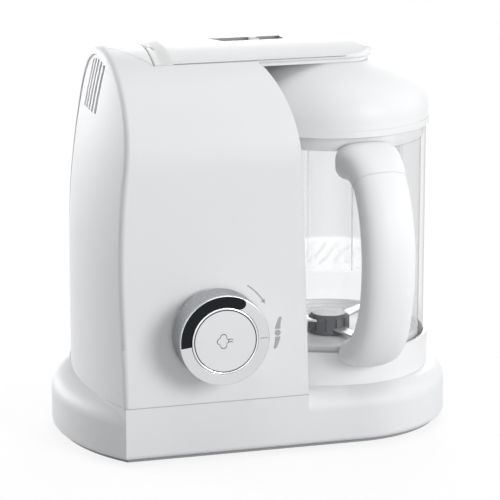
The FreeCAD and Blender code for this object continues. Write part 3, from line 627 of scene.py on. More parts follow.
@dataclass
class Assembly:
    """A group of carried-over solids with their finishes, to which a kind of assembly adds pieces.

    Args:
        finishes: the finish of each of its solids.
    """

    finishes: dict[str, Surface] = field(default_factory=dict)

    def build(self) -> None:
        """Dress the solids and add the pieces."""
        for name, surface in self.finishes.items():
            dress(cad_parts[name], surface)
        log.info("%s: %d solids dressed", type(self).__name__, len(self.finishes))
        self.add_pieces()

    def add_pieces(self) -> None:
        """Add what the solids leave out."""


@dataclass
class BaseUnit(Assembly):
    """The floor of the machine and the jug's collar."""

    finishes: dict[str, Surface] = field(default_factory=lambda: {
        "base_shell": WHITE_SHELL, "jug_collar": WHITE_LID, "bottom_cover": DARK_COVER, "rubber_feet": RUBBER,
        "bottom_screws": STEEL})


@dataclass
class Tower(Assembly):
    """The casing, with the two printed signs beside the knob. Lengths are in metres.

    Args:
        print_height: thickness of the print.
        arrow_radius: radius of the turning arrow about the knob's axis.
        arrow_start: angle where the arrow starts, in degrees.
        arrow_end: angle where its head points, in degrees.
        arrow_shift: how far the arrow's centre lies from the knob's axis.
        arrow_steps: number of steps along the arrow's arc.
        arrow_cut: how many points before its tip the arrow's line leaves out.
        head_back: how many steps behind the tip the head is lined up with.
        stroke_width: width of the arrow's line.
        head_length: length of the arrow's head, in widths of its line.
        head_half: half the width of the head, as a share of its length.
        head_notch: where the head's back is notched, as a share of its length.
        head_proud: thickness of the head, in thicknesses of the print.
        blade_reach: half the height of the blade sign.
        blade_foot: where a blade starts, from the sign's middle.
        blade_sweep: how far a blade leans by its tip.
        blade_half: half the width of a blade at its foot.
        blade_taper: share of its width that a blade loses by its tip.
        blade_curl: power by which a blade's lean grows.
        blade_tip: where a blade's tip starts to round off, from 0 to 1.
        blade_blunt: least square of the tip's width, as a share.
        blade_steps: number of steps along a blade and round the sign's middle.
        blade_hub: radius of the sign's middle.
        blade_shift: how far the blade sign's middle lies from the knob's axis.
        seam_width: width of the seam between the tower and the base.
        seam_inset: how far from the tower's corner the seam starts.
        vent_pitch: distance between the vent slots' middles.
        vent_count: number of vent slots.
        vent_low: height of the slots' lower ends.
        vent_high: height up to which the screen behind them goes.
        screen_depth: how deep the screen lies behind the side's face.
        screen_rows: number of rows of the screen's mesh.
    """

    finishes: dict[str, Surface] = field(default_factory=lambda: {
        "front_panel": WHITE_SHELL, "rear_panel": WHITE_SHELL, "side_cover": WHITE_SHELL,
        "well_wall": WHITE_LID, "top_deck": WHITE_SHELL, "crown_cap": WHITE_LID, "hinge_pin": STEEL,
        "knob_bezel": WHITE_SHELL, "control_board": BOARD, "cord_gland": RUBBER, "steam_switch": DARK_COVER,
        "mode_switch": DARK_COVER})
    print_height: float = 0.12 * MM
    arrow_radius: float = 35.6 * MM
    arrow_start: float = 56.0
    arrow_end: float = 29.0
    arrow_shift: Point = (0.8 * MM, -2.2 * MM)
    arrow_steps: int = 16
    arrow_cut: int = 1
    head_back: int = 4
    stroke_width: float = 0.75 * MM
    head_length: float = 4.4
    head_half: float = 0.45
    head_notch: float = 0.75
    head_proud: float = 1.2
    blade_reach: float = 10.0 * MM
    blade_foot: float = 2.5 * MM
    blade_sweep: float = 2.0 * MM
    blade_half: float = 1.7 * MM
    blade_taper: float = 0.5
    blade_curl: float = 1.6
    blade_tip: float = 0.88
    blade_blunt: float = 0.04
    blade_steps: int = 24
    blade_hub: float = 1.9 * MM
    blade_shift: Point = (39.8 * MM, -3.9 * MM)
    # seam_width: width of the painted seam shade between the tower and the base.
    seam_width: float = 0.5 * MM
    # seam_inset: how far from the tower's corner the painted seam shade starts.
    seam_inset: float = 2.0 * MM
    vent_pitch: float = 7.0 * MM
    vent_count: int = 5
    vent_low: float = 209.5 * MM
    vent_high: float = 244.0 * MM
    screen_depth: float = 1.5 * MM
    screen_rows: int = 12

    def add_pieces(self) -> None:
        """Print the two signs on the front panel, paint shade along its lower seam and lay a screen behind
        the vents.
        """
        low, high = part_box("knob_ring")
        centre = Vector(((low.x + high.x) / 2, 0.0, (low.z + high.z) / 2))
        skin = self.skin("front_panel")

        def on_panel(u: float, v: float, height: float) -> Vector:
            """Drop a flat point onto the front panel.

            Args:
                u: distance to the right.
                v: distance up from the knob's axis.
                height: height above the panel.

            Returns:
                The spot in the part's frame.
            """
            start = Vector((centre.x + u, -FAR, centre.z + v))
            spot = skin.ray_cast(start, Vector((0.0, 1.0, 0.0)))[0]
            return spot - Vector((0.0, height, 0.0))

        self.arrow(on_panel)
        self.blades(on_panel)
        self.foot_painted_seam_shade()
        self.vent_screen()

    def vent_screen(self) -> None:
        """A pale screen close behind the side's vent slots, in step with its bowed face."""
        low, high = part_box("side_cover")
        middle = (low.y + high.y) / 2
        face = self.skin("side_cover")
        columns = []
        sheet = Sheet("vent_screen")
        for index in range(self.vent_count + 1):
            y = middle + (index - self.vent_count / 2) * self.vent_pitch
            spots = []
            for row in range(self.screen_rows + 1):
                z = self.vent_low + (self.vent_high - self.vent_low) * row / self.screen_rows
                spot = face.ray_cast(Vector((-FAR, y, z)), Vector((1.0, 0.0, 0.0)))[0]
                if spot is not None:
                    spots.append(spot + Vector((self.screen_depth, 0.0, 0.0)))
            columns.append(sheet.loop(spots))
        for left, right in zip(columns, columns[1:]):
            for row in range(min(len(left), len(right)) - 1):
                sheet.faces.append((left[row], left[row + 1], right[row + 1], right[row]))
        sheet.piece(SCREEN, Body.HOUSING, Slot.WHITE)

    def foot_painted_seam_shade(self) -> None:
        """Painted shade: a soft grey line where the front panel meets the base, standing in for the shade of
        the crease there.
        """
        low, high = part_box("front_panel")
        sheet = Sheet("foot_painted_seam_shade")

        def on_joint(u: float, v: float, height: float) -> Vector:
            """Put a flat point on the joint between panel and base.

            Args:
                u: distance to the right.
                v: distance up from the joint.
                height: height in front of the panel.

            Returns:
                The spot in the part's frame.
            """
            return Vector((u, low.y - height, low.z + v))

        line = [(low.x + self.seam_inset, 0.0), ((low.x + high.x) / 2, 0.0), (high.x, 0.0)]
        sheet.plate(stroke(line, self.seam_width), on_joint, self.print_height / 2)
        # painted shade along the panel's foot
        sheet.piece(PAINTED_SEAM_SHADE, Body.HOUSING, Slot.WHITE, flat=True)

    @staticmethod
    def skin(name: str) -> BVHTree:
        """The faces of one solid, to lay pieces on.

        Args:
            name: the solid's name.

        Returns:
            A tree to cast rays at.
        """
        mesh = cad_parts[name].data
        spots = [corner.co.copy() for corner in mesh.vertices]
        return BVHTree.FromPolygons(spots, [tuple(face.vertices) for face in mesh.polygons])

    def arrow(self, place: Placing) -> None:
        """An arc with a head, clockwise round the knob.

        Args:
            place: puts flat points on the face.
        """
        sheet = Sheet("turn_arrow")
        sweep = self.arrow_end - self.arrow_start
        turns = [math.radians(self.arrow_start + sweep * step / self.arrow_steps)
                 for step in range(self.arrow_steps + 1)]
        right, up = self.arrow_shift
        path = [(right + self.arrow_radius * math.cos(turn), up + self.arrow_radius * math.sin(turn))
                for turn in turns]
        line = path[:-1 - self.arrow_cut]
        sheet.plate(stroke(line, self.stroke_width), place, self.print_height)
        tip = Vector(path[-1])
        back = (Vector(path[-1 - self.head_back]) - tip).normalized()
        side = Vector((-back.y, back.x))
        length = self.head_length * self.stroke_width
        reach, half = back * length, side * length * self.head_half
        barbs = [tip, tip + reach + half, tip + reach * self.head_notch, tip + reach - half]
        sheet.plate([tuple(barb) for barb in barbs], place, self.print_height * self.head_proud)
        sheet.piece(PRINT_GREY, Body.HOUSING, Slot.DARK, flat=True)

    def blades(self, place: Placing) -> None:
        """Two swept blades either side of a round hub.

        Args:
            place: puts flat points on the face.
        """
        sheet = Sheet("blade_sign")
        right, up = self.blade_shift
        steps, tip = self.blade_steps, self.blade_tip
        sheet.plate(circle(self.blade_shift, self.blade_hub, steps), place, self.print_height)
        for way in (1, -1):
            outer, inner = [], []
            for step in range(steps + 1):
                share = step / steps
                along = self.blade_foot + (self.blade_reach - self.blade_foot) * share
                sweep = self.blade_sweep * share ** self.blade_curl
                wide = self.blade_half * (1.0 - self.blade_taper * share)
                if share > tip:
                    wide *= math.sqrt(max(self.blade_blunt, 1.0 - ((share - tip) / (1.0 - tip)) ** 2))
                outer.append((right + way * (sweep + wide), up + way * along))
                inner.append((right + way * (sweep - wide), up + way * along))
            sheet.plate(outer + inner[::-1], place, self.print_height)
        sheet.piece(PRINT_GREY, Body.HOUSING, Slot.DARK, flat=True)


@dataclass
class Lid(Assembly):
    """The swinging lid with its dome, seals and latch. Lengths are in metres.

    Args:
        rib_height: height of the latch's finger ribs.
        rib_width: width of a rib.
        rib_inset: how far a rib's ends lie from the latch's sides.
        rib_shares: where the ribs stand along the latch, from 0 to 1.
        slot_left: left end of the latch's slot, from the latch's middle.
        slot_right: right end of the slot.
        slot_side: gap between the latch and the slot's painted shade sheet.
        slot_brim: how far the painted shade sheet ends below the latch's top.
        slot_skin: how far the painted shade sheet lies from the slot's floor and ends.
        latch_travel: how far the latch slides.
        scoop_clear: gap between the scoop and the latch at the end of its travel.
        scoop_side: gap between the scoop and the slot's left end, and its reach past the latch's sides.
        scoop_brim: how far the scoop starts below the latch's top.
        scoop_foot: how far the scoop ends above the latch's underside.
        scoop_steps: number of steps down the scoop.
        edge_line: height of the painted shadow line under the lid's front edge.
        edge_proud: thickness of that line.
        edge_ramp: where that line starts, from the lid's left end.
        edge_end: where it ends, from the lid's right end.
        cap_drop: how far the tower has fallen from its crown at the lid's front edge.
    """

    finishes: dict[str, Surface] = field(default_factory=lambda: {
        "lid_plate": WHITE_TOP, "lid_liner": WHITE_LID, "lid_dome": WHITE_LID, "jug_seal": SILICONE,
        "tank_seal": SILICONE, "steam_nozzle": WHITE_NYLON, "lid_latch": WHITE_GRIP})
    rib_height: float = 0.5 * MM
    rib_width: float = 0.6 * MM
    rib_inset: float = 1.2 * MM
    rib_shares: tuple[float, ...] = (0.2, 0.5, 0.8)
    slot_left: float = 30 * MM
    slot_right: float = 18 * MM
    slot_side: float = 0.2 * MM
    slot_brim: float = 0.25 * MM
    slot_skin: float = 0.06 * MM
    latch_travel: float = 8.0 * MM
    scoop_clear: float = 0.5 * MM
    scoop_side: float = 0.1 * MM
    scoop_brim: float = 0.3 * MM
    scoop_foot: float = 0.05 * MM
    scoop_steps: int = 12
    edge_line: float = 0.5 * MM
    edge_proud: float = 0.05 * MM
    edge_ramp: float = 12.0 * MM
    edge_end: float = 22.0 * MM
    cap_drop: float = 7.2 * MM

    def add_pieces(self) -> None:
        """Raise finger ribs on the latch, paint shade into its slot, add the scoop and paint the shadow line
        under the edge.
        """
        self.latch_ribs()
        self.slot_painted_shade()
        self.finger_scoop()
        self.edge_shadow()

    def edge_shadow(self) -> None:
        """Painted shadow: a thin dark line along the foot of the lid's front edge, where shade falls."""
        low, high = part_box("lid_plate")
        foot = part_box("crown_cap")[1].z - self.cap_drop
        sheet = Sheet("lid_edge_painted_shadow")

        def on_edge(u: float, v: float, height: float) -> Vector:
            """Put a flat point on the lid's front edge.

            Args:
                u: distance to the right.
                v: distance up from the edge's foot.
                height: height in front of the edge.

            Returns:
                The spot in the part's frame.
            """
            return Vector((u, low.y - height, foot + v))

        line = [(low.x + self.edge_ramp, 0.0), (0.0, 0.0), (high.x - self.edge_end, 0.0)]
        sheet.plate(stroke(line, self.edge_line), on_edge, self.edge_proud)
        # painted shadow under the lid's front edge
        sheet.piece(PAINTED_SHADE, Body.LID, Slot.DARK, flat=True)

    def slot_painted_shade(self) -> None:
        """Painted shade: a dark sheet on the far side and the ends of the latch's slot, where shade falls."""
        low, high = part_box("lid_latch")
        middle, skin = (low.x + high.x) / 2, self.slot_skin
        far, near = high.y + self.slot_side, low.y - self.slot_side
        left, right = middle - self.slot_left + skin, middle + self.slot_right - skin
        top = high.z - self.slot_brim
        sheet = Sheet("latch_slot_painted_shade")
        deep = low.z - skin
        floor = sheet.loop([Vector((left, near, deep)), Vector((left, far, deep)), Vector((right, far, deep)),
                            Vector((right, near, deep))])
        brim = sheet.loop([Vector((corner.x, corner.y, top)) for corner in sheet.corners])
        for index in range(len(floor) - 1):
            sheet.faces.append((floor[index], floor[index + 1], brim[index + 1], brim[index]))
        sheet.faces.append(tuple(reversed(floor)))
        # painted shade inside the latch's slot
        sheet.piece(PAINTED_SHADE, Body.LID, Slot.DARK, flat=True)

    def finger_scoop(self) -> None:
        """A slope that leads a finger down to the latch, clear of its travel."""
        low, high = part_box("lid_latch")
        left = (low.x + high.x) / 2 - self.slot_left + self.scoop_side
        right = low.x - self.latch_travel - self.scoop_clear
        near, far = low.y - self.scoop_side, high.y + self.scoop_side
        brim, foot = high.z - self.scoop_brim, low.z + self.scoop_foot
        sheet = Sheet("finger_scoop")
        rows = []
        for step in range(self.scoop_steps + 1):
            share = step / self.scoop_steps
            x = left + (right - left) * share
            z = brim - (brim - foot) * share * share * (3 - 2 * share)
            rows.append(sheet.loop([Vector((x, near, z)), Vector((x, far, z))]))
        for first, second in zip(rows, rows[1:]):
            sheet.faces.append((first[0], second[0], second[1], first[1]))
        sheet.piece(WHITE_TOP, Body.LID, Slot.WHITE)

    def latch_ribs(self) -> None:
        """Finger ribs across the latch, sunk to half their height."""
        low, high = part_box("lid_latch")
        sheet = Sheet("latch_ribs")
        top = high.z - self.rib_height / 2

        def on_latch(u: float, v: float, height: float) -> Vector:
            """Put a flat point on top of the latch.

            Args:
                u: distance to the right.
                v: distance to the back.
                height: height above the ribs' foot.

            Returns:
                The spot in the part's frame.
            """
            return Vector((u, v, top + height))

        for share in self.rib_shares:
            x = low.x + (high.x - low.x) * share
            line = [(x, low.y + self.rib_inset), (x, (low.y + high.y) / 2), (x, high.y - self.rib_inset)]
            sheet.plate(stroke(line, self.rib_width), on_latch, self.rib_height / 2)
        sheet.piece(WHITE_GRIP, Body.LATCH, Slot.WHITE, flat=True)


@dataclass
class Jug(Assembly):
    """The clear jug with its handle and the steam basket in its mouth. Lengths are in metres.

    Args:
        bowl_wall: thickness of the jug's wall.
        rim_wall: thickness of the milky band inside the jug's mouth.
        rim_gap: gap between the band and the basket's outside.
        rim_top: how far the band starts below the basket's top.
        rim_bottom: how far it ends below the basket's top.
        rib_count: number of stiffening ribs round the basket.
        rib_radius: radius of a rib.
        rib_ring: radius of the circle that the ribs stand on.
        rib_margin: how far a rib ends short of the basket's foot and of the band.
        foot_steps: the stepped foot's profile, as insets from the wall and rises from the floor.
        floor_inner: inner radius of the frosted ring on the jug's floor.
        floor_gap: gap between the ring and the wall.
        floor_lift: how far the ring lies above the floor.
        floor_top: height of the ring's face above the floor.
    """

    finishes: dict[str, Surface] = field(default_factory=lambda: {
        "jug_bowl": CLEAR_JUG, "steam_basket": FROSTED, "jug_handle": WHITE_GRIP, "blade_seal": SILICONE})
    bowl_wall: float = 3.0 * MM
    rim_wall: float = 0.4 * MM
    rim_gap: float = 0.05 * MM
    rim_top: float = 0.3 * MM
    rim_bottom: float = 7.6 * MM
    rib_count: int = 8
    rib_radius: float = 0.7 * MM
    rib_ring: float = 46.4 * MM
    rib_margin: float = 1.0 * MM
    foot_steps: tuple[Point, ...] = (
        (0.1 * MM, 0.1 * MM), (0.1 * MM, 6.0 * MM), (1.0 * MM, 5.4 * MM), (1.4 * MM, 3.6 * MM),
        (2.6 * MM, 3.0 * MM), (3.2 * MM, 1.4 * MM), (5.0 * MM, 0.8 * MM), (5.2 * MM, 0.1 * MM))
    floor_inner: float = 15.4 * MM
    floor_gap: float = 0.2 * MM
    floor_lift: float = 0.02 * MM
    floor_top: float = 0.09 * MM

    def add_pieces(self) -> None:
        """Add the milky rim, the basket's ribs, the frosted floor and the jug's stepped foot."""
        low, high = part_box("jug_bowl")
        middle = Vector(((low.x + high.x) / 2, (low.y + high.y) / 2, 0.0))
        inside = (high.x - low.x) / 2 - self.bowl_wall

        def round_jug(u: float, v: float, height: float) -> Vector:
            """Put a turned point round the jug's axis.

            Args:
                u: distance to the right.
                v: distance to the back from the axis.
                height: height above the frame's floor.

            Returns:
                The spot in the part's frame.
            """
            return middle + Vector((u, v, height))

        basket_low, basket_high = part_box("steam_basket")
        rim = Sheet("basket_rim")
        outer = (basket_high.x - basket_low.x) / 2 - self.rim_gap
        inner = outer - self.rim_wall
        top, bottom = basket_high.z - self.rim_top, basket_high.z - self.rim_bottom
        rim.lathe([(outer, bottom), (outer, top), (inner, top), (inner, bottom)], round_jug)
        rim.piece(MILKY, Body.JUG, Slot.BASKET)
        foot = Sheet("jug_foot")
        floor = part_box("blade_seal")[1].z
        foot.lathe([(inside - inset, floor + rise) for inset, rise in self.foot_steps], round_jug)
        foot.piece(FROSTED_FLOOR, Body.JUG, Slot.CLEAR)
        frost = Sheet("floor_frost")
        wide, under, face = inside - self.floor_gap, floor + self.floor_lift, floor + self.floor_top
        hole = self.floor_inner
        frost.lathe([(wide, under), (wide, face), (hole, face), (hole, under)], round_jug)
        frost.piece(FROSTED_FLOOR, Body.JUG, Slot.CLEAR)
        length = bottom - basket_low.z - 2 * self.rib_margin
        ribs = RadialRibs(self.rib_count, self.rib_ring, length, self.rib_radius)
        place = Matrix.Translation(middle + Vector((0.0, 0.0, basket_low.z + self.rib_margin + length / 2)))
        adopt("basket_ribs", ribs.mesh("basket_ribs", RIB, place), RIB, Body.JUG, Slot.BASKET)


@dataclass
class Drive(Assembly):
    """The motor, belt, spindle, blades and boiler inside."""

    finishes: dict[str, Surface] = field(default_factory=lambda: {
        "motor_can": MOTOR, "motor_bracket": STEEL, "motor_shaft": STEEL, "drive_pulley": ALLOY,
        "driven_pulley": ALLOY, "drive_belt": BELT, "drive_spindle": STEEL, "spindle_bush": BRONZE,
        "drive_coupling": WHITE_NYLON, "blades": BLADE, "blade_hub": NYLON, "water_tank": STEEL,
        "tank_heater": ALLOY, "tank_thermostat": DARK_COVER})


@dataclass
class Knob(Assembly):
    """The mode knob and the steam button in its middle. Lengths are in metres.

    Args:
        rib_count: number of fine ribs round the knob's side.
        rib_radius: radius of a rib.
        rib_sink: how deep a rib is sunk, as a share of its radius.
        rib_margin: how far a rib ends short of the ring's ends.
        tick_inner: inner end of the tick on the ring.
        tick_outer: outer end of the tick.
        tick_width: width of the tick.
        bead_half: half the width of the chrome bead.
        bead_out: how far the bead's middle lies outside the button.
        bead_rise: how far the bead is raised, as a share of half its width.
        bead_depth: how deep the bead's foot reaches.
        bead_steps: number of steps over the bead.
        groove_inner: how far the groove reaches inside the button's edge.
        groove_outer: how far it reaches outside the button's edge.
        groove_depth: how deep the groove's foot reaches.
        groove_face: height of the groove's face.
        puff: half the size of the steam sign.
        puff_lobes: the sign's round lobes, each as its place and radius in half sizes.
        puff_least: least radius of the sign's outline, in half sizes.
        puff_shift: how far the outline is moved to the left, in half sizes.
        puff_steps: number of corners of the outline.
        puff_line: width of the sign's line.
        wave_rises: heights of the two waves beside the puff, in half sizes.
        wave_path: a wave's line, as places to the right and above its height, in half sizes.
        wave_line: width of a wave's line, as a share of the sign's.
        print_height: thickness of the print.
    """

    finishes: dict[str, Surface] = field(default_factory=lambda: {
        "knob_ring": SATIN_RING, "knob_window": BLACK_WINDOW, "knob_sleeve": WHITE_NYLON,
        "steam_button": SATIN_FACE, "button_trim": CHROME, "button_stem": WHITE_NYLON})
    rib_count: int = 150
    rib_radius: float = 0.42 * MM
    rib_sink: float = 0.3
    rib_margin: float = 1.6 * MM
    tick_inner: float = 22.2 * MM
    tick_outer: float = 27.0 * MM
    tick_width: float = 0.5 * MM
    bead_half: float = 0.65 * MM
    bead_out: float = 0.75 * MM
    bead_rise: float = 0.55
    bead_depth: float = 1.6 * MM
    bead_steps: int = 10
    groove_inner: float = 0.35 * MM
    groove_outer: float = 0.14 * MM
    groove_depth: float = 0.2 * MM
    groove_face: float = 0.9 * MM
    puff: float = 4.9 * MM
    puff_lobes: tuple[tuple[float, float, float], ...] = (
        (0.0, 0.52, 0.44), (0.0, -0.52, 0.44), (-0.4, 0.0, 0.46), (0.36, 0.02, 0.34))
    puff_least: float = 0.3
    puff_shift: float = 0.25
    puff_steps: int = 96
    puff_line: float = 0.62 * MM
    wave_rises: tuple[float, ...] = (0.16, -0.16)
    wave_path: tuple[Point, ...] = ((0.3, 0.0), (0.62, 0.1), (0.95, 0.0))
    wave_line: float = 0.8
    print_height: float = 0.1 * MM

    def add_pieces(self) -> None:
        """Add the knurl, the chrome bead, the tick and the steam sign."""
        low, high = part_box("knob_ring")
        centre = Vector(((low.x + high.x) / 2, 0.0, (low.z + high.z) / 2))
        self.knurl(low, high, centre)
        self.tick(self.facing(centre, low.y))
        face_low, face_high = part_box("steam_button")
        self.bead(self.facing(centre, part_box("button_trim")[0].y), (face_high.x - face_low.x) / 2)
        self.steam_sign(self.facing(centre, face_low.y))

    @staticmethod
    def facing(centre: Vector, front: float) -> Placing:
        """Put flat points on a face that looks forward, with heights towards the viewer.

        Args:
            centre: the middle of the face.
            front: the Y of the face.

        Returns:
            What puts the points there.
        """

        def place(u: float, v: float, height: float) -> Vector:
            """Put a flat point on the face.

            Args:
                u: distance to the right.
                v: distance up from the middle.
                height: height towards the viewer.

            Returns:
                The spot in the part's frame.
            """
            return Vector((centre.x + u, front - height, centre.z + v))

        return place

    def knurl(self, low: Vector, high: Vector, centre: Vector) -> None:
        """Fine ribs along the knob's side.

        Args:
            low: lower corner of the knob ring's box.
            high: upper corner of that box.
            centre: a spot on the knob's axis.
        """
        ribs = RadialRibs(self.rib_count, (high.x - low.x) / 2 - self.rib_sink * self.rib_radius,
                          high.y - low.y - 2 * self.rib_margin, self.rib_radius)
        forward = Matrix.Rotation(math.pi / 2, 4, "X")
        place = Matrix.Translation((centre.x, (low.y + high.y) / 2, centre.z)) @ forward
        adopt("knob_knurl", ribs.mesh("knob_knurl", KNURL, place), KNURL, Body.KNOB, Slot.RING)

    def tick(self, place: Placing) -> None:
        """A short line on the ring that points at the signs.

        Args:
            place: puts flat points on the face.
        """
        sheet = Sheet("knob_tick")
        line = [(self.tick_inner, 0.0), (self.tick_outer, 0.0)]
        sheet.plate(stroke(line, self.tick_width), place, self.print_height)
        sheet.piece(PRINT_GREY, Body.KNOB, Slot.DARK, flat=True)

    def bead(self, place: Placing, radius: float) -> None:
        """A rounded chrome bead round the button with a near-black ring inside it, painted shade for the
        groove.

        Args:
            place: puts flat points on the face.
            radius: radius of the button.
        """
        half, middle = self.bead_half, radius + self.bead_out
        profile = []
        for step in range(self.bead_steps + 1):
            turn = math.pi * step / self.bead_steps
            profile.append((middle - half * math.cos(turn), self.bead_rise * half + half * math.sin(turn)))
        profile.extend(((middle + half, -self.bead_depth), (middle - half, -self.bead_depth)))
        bead = Sheet("button_bead")
        bead.lathe(profile, place)
        made = bead.piece(CHROME, Body.BUTTON, Slot.CHROME)
        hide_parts("button_trim")
        groove = Sheet("button_groove_painted_shade")
        inner, outer = radius - self.groove_inner, radius + self.groove_outer
        foot, face = -self.groove_depth, self.groove_face
        groove.lathe([(inner, foot), (inner, face), (outer, face), (outer, foot)], place)
        # painted shade in the gap round the button
        groove.piece(PAINTED_GROOVE_SHADE, Body.BUTTON, Slot.DARK)

    def steam_sign(self, place: Placing) -> None:
        """A puff of steam in outline, drifting to the right.

        Args:
            place: puts flat points on the face.
        """
        sheet = Sheet("steam_sign")

        def puff(radius: float) -> list[Point]:
            """The outline of overlapping round lobes.

            Args:
                radius: half the size of the outline.

            Returns:
                The outline's points.
            """
            spots = []
            for ray in map(Vector, circle((0.0, 0.0), 1.0, self.puff_steps)):
                far = self.puff_least
                for u, v, size in self.puff_lobes:
                    along = ray.dot(Vector((u, v)))
                    inside = size ** 2 - u ** 2 - v ** 2 + along ** 2
                    if inside > 0.0:
                        far = max(far, along + math.sqrt(inside))
                spots.append((radius * far * ray.x - self.puff_shift * self.puff, radius * far * ray.y))
            return spots

        sheet.band(puff(self.puff), puff(self.puff - self.puff_line), place, self.print_height)
        for rise in self.wave_rises:
            line = [(u * self.puff, (rise + v) * self.puff) for u, v in self.wave_path]
            sheet.plate(stroke(line, self.puff_line * self.wave_line), place, self.print_height)
        sheet.piece(PRINT_DARK, Body.BUTTON, Slot.DARK, flat=True)


@dataclass
class Lamp:
    """A square soft lamp.

    Args:
        name: its name.
        place: its place in metres.
        span: its side in metres.
        power: its power in watts.
    """

    name: str
    place: tuple[float, float, float]
    span: float
    power: float

    def hang(self, aim: Vector) -> None:
        """Hang the lamp and point it.

        Args:
            aim: the spot that it lights.
        """
        data = bpy.data.lights.new(self.name, "AREA")
        data.shape = "SQUARE"
        data.size = self.span
        data.energy = self.power
        made = bpy.data.objects.new(self.name, data)
        made.location = self.place
        made.rotation_euler = (Vector(self.place) - aim).to_track_quat("Z", "Y").to_euler()
        bpy.context.scene.collection.objects.link(made)


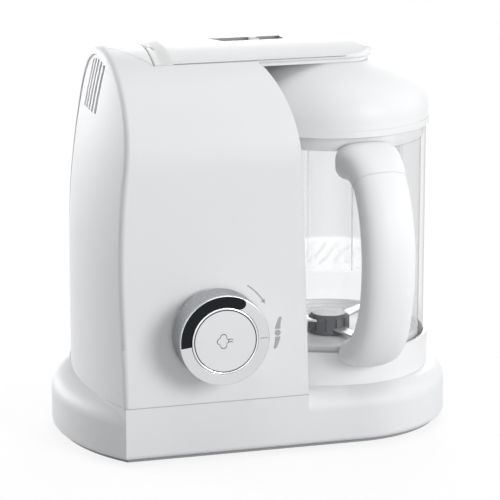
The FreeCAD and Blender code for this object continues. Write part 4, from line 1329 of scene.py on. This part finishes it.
@dataclass
class Studio:
    """The pale floor, the soft lamps, the world and the camera of the photograph.

    Args:
        azimuth: the camera's turn about the part, in degrees.
        elevation: the camera's height angle, in degrees.
        distance: how far the camera stands from its aim.
        focal_px: the lens's focal length in pixels of the picture.
        image_px: the picture's width in pixels.
        sensor: the width of the camera's sensor in millimetres.
        sight: how far the camera sees, in metres.
        aim_x: the X that the camera aims at.
        aim_z: the height that it aims at.
        floor_span: the floor's side in metres.
        floor_glow: how white the floor is seen near the part, from 0 to 1.
        fade_range: where the floor starts to fade to white and where it ends, in metres.
        floor_colour: the floor's colour for the light that it throws back.
        floor_roughness: the floor's roughness.
        floor_shine: level of the floor's mirror-like share.
        ambient: strength of the world's light.
        ambient_colour: colour of the world's light.
        clear_walls: number of clear walls that a ray passes.
        lamps: the soft lamps.
    """

    azimuth: float = -16.14
    elevation: float = 14.01
    distance: float = 1707.9 * MM
    focal_px: float = 2666.4
    image_px: float = 500.0
    sensor: float = 36.0
    sight: float = 50.0
    aim_x: float = 0.67 * MM
    aim_z: float = 113.85 * MM
    floor_span: float = 30.0
    floor_glow: float = 0.86
    fade_range: tuple[float, float] = (0.4, 1.6)
    floor_colour: tuple[float, float, float] = (0.55, 0.55, 0.555)
    floor_roughness: float = 0.9
    floor_shine: float = 0.1
    ambient: float = 0.11
    ambient_colour: tuple[float, float, float] = (0.97, 0.985, 1.0)
    clear_walls: int = 48
    lamps: tuple[Lamp, ...] = (
        Lamp("key", (0.95, -1.5, 0.66), 0.8, 20.0),
        Lamp("top", (0.1, -0.1, 1.7), 1.4, 12.5),
        Lamp("side", (1.7, 0.0, 0.5), 0.9, 4.0),
        Lamp("rim", (-0.72, 1.5, 0.3), 0.6, 5.0),
        Lamp("left", (-1.15, 0.95, 0.5), 0.8, 12.0),
        Lamp("fill", (-0.3, -1.75, 0.2), 0.8, 4.5),
        Lamp("glow", (0.75, 1.5, 0.8), 0.9, 13.0))

    def build(self, axis_y: float) -> None:
        """Put the whole studio up.

        Args:
            axis_y: the Y of the part's middle plane, in metres.
        """
        aim = Vector((self.aim_x, axis_y, self.aim_z))
        self.camera(aim)
        self.floor()
        self.world()
        for lamp in self.lamps:
            lamp.hang(aim)
        bpy.context.scene.view_settings.view_transform = "Standard"
        bpy.context.scene.cycles.transparent_max_bounces = self.clear_walls
        log.info("studio: camera, floor, world and %d lamps", len(self.lamps))

    def camera(self, aim: Vector) -> None:
        """Stand the camera where the photograph was taken from.

        Args:
            aim: the spot in the middle of the picture.
        """
        turn, lift = math.radians(self.azimuth), math.radians(self.elevation)
        back = Vector((math.sin(turn) * math.cos(lift), -math.cos(turn) * math.cos(lift), math.sin(lift)))
        data = bpy.data.cameras.new("photo camera")
        data.sensor_width = self.sensor
        data.lens = self.focal_px / self.image_px * self.sensor
        data.clip_end = self.sight
        made = bpy.data.objects.new("photo camera", data)
        made.location = aim + back * self.distance
        made.rotation_euler = back.to_track_quat("Z", "Y").to_euler()
        bpy.context.scene.collection.objects.link(made)
        bpy.context.scene.camera = made

    def floor(self) -> None:
        """Lay a wide pale floor that keeps the part's shadow."""
        half = self.floor_span / 2
        mesh = bpy.data.meshes.new("floor")
        corners = [(-half, -half, 0.0), (half, -half, 0.0), (half, half, 0.0), (-half, half, 0.0)]
        mesh.from_pydata(corners, [], [(0, 1, 2, 3)])
        made = bpy.data.objects.new("floor", mesh)
        bpy.context.scene.collection.objects.link(made)
        mesh.materials.append(self.floor_material())

    @staticmethod
    def direct_view(tree: bpy.types.NodeTree) -> bpy.types.NodeSocket:
        """1 for rays that the camera sees directly, through clear walls or in gloss.

        Args:
            tree: the node tree to add to.

        Returns:
            The output to mix by.
        """
        ray = tree.nodes.new("ShaderNodeLightPath")
        clear = tree.nodes.new("ShaderNodeMath")
        clear.operation = "MAXIMUM"
        tree.links.new(ray.outputs["Is Camera Ray"], clear.inputs[0])
        tree.links.new(ray.outputs["Is Transmission Ray"], clear.inputs[1])
        shiny = tree.nodes.new("ShaderNodeMath")
        shiny.operation = "MAXIMUM"
        tree.links.new(clear.outputs["Value"], shiny.inputs[0])
        tree.links.new(ray.outputs["Is Glossy Ray"], shiny.inputs[1])
        return shiny.outputs["Value"]

    def floor_material(self) -> bpy.types.Material:
        """A pale floor that is seen as nearly white, with the shadow left in.

        Returns:
            The floor's material.
        """
        made = bpy.data.materials.new("pale floor")
        made.use_nodes = True
        tree = made.node_tree
        shader = tree.nodes["Principled BSDF"]
        tint = tree.nodes.new("ShaderNodeMix")
        tint.data_type = "RGBA"
        tint.inputs["A"].default_value = (*self.floor_colour, 1.0)
        tint.inputs["B"].default_value = (1.0, 1.0, 1.0, 1.0)
        seen = self.direct_view(tree)
        tree.links.new(seen, tint.inputs["Factor"])
        tree.links.new(tint.outputs["Result"], shader.inputs["Base Color"])
        shader.inputs["Roughness"].default_value = self.floor_roughness
        shader.inputs["Specular IOR Level"].default_value = self.floor_shine
        glow = tree.nodes.new("ShaderNodeEmission")
        glow.inputs["Color"].default_value = (1.0, 1.0, 1.0, 1.0)
        spot = tree.nodes.new("ShaderNodeTexCoord")
        reach = tree.nodes.new("ShaderNodeVectorMath")
        reach.operation = "LENGTH"
        tree.links.new(spot.outputs["Object"], reach.inputs[0])
        fade = tree.nodes.new("ShaderNodeMapRange")
        fade.interpolation_type = "SMOOTHSTEP"
        for socket, value in zip(("From Min", "From Max", "To Min", "To Max"),
                                 (*self.fade_range, self.floor_glow, 1.0)):
            fade.inputs[socket].default_value = value
        tree.links.new(reach.outputs["Value"], fade.inputs["Value"])
        share = tree.nodes.new("ShaderNodeMath")
        share.operation = "MULTIPLY"
        tree.links.new(fade.outputs["Result"], share.inputs[1])
        tree.links.new(seen, share.inputs[0])
        mix = tree.nodes.new("ShaderNodeMixShader")
        tree.links.new(share.outputs["Value"], mix.inputs["Fac"])
        tree.links.new(shader.outputs["BSDF"], mix.inputs[1])
        tree.links.new(glow.outputs["Emission"], mix.inputs[2])
        tree.links.new(mix.outputs["Shader"], tree.nodes["Material Output"].inputs["Surface"])
        return made

    def world(self) -> None:
        """White where it is seen directly, a softer grey as light."""
        made = bpy.data.worlds.new("studio")
        made.use_nodes = True
        tree = made.node_tree
        soft = tree.nodes["Background"]
        soft.inputs["Color"].default_value = (*self.ambient_colour, 1.0)
        soft.inputs["Strength"].default_value = self.ambient
        white = tree.nodes.new("ShaderNodeBackground")
        white.inputs["Color"].default_value = (1.0, 1.0, 1.0, 1.0)
        white.inputs["Strength"].default_value = 1.0
        mix = tree.nodes.new("ShaderNodeMixShader")
        tree.links.new(self.direct_view(tree), mix.inputs["Fac"])
        tree.links.new(soft.outputs["Background"], mix.inputs[1])
        tree.links.new(white.outputs["Background"], mix.inputs[2])
        tree.links.new(mix.outputs["Shader"], tree.nodes["World Output"].inputs["Surface"])
        bpy.context.scene.world = made


def main() -> None:
    """Build every sub-assembly and the studio."""
    logging.basicConfig(level=logging.INFO, format="%(message)s")
    for assembly in (BaseUnit(), Tower(), Lid(), Jug(), Drive(), Knob()):
        assembly.build()
    low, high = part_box("jug_collar")
    Studio().build((low.y + high.y) / 2)


if __name__ == "__main__":
    main()
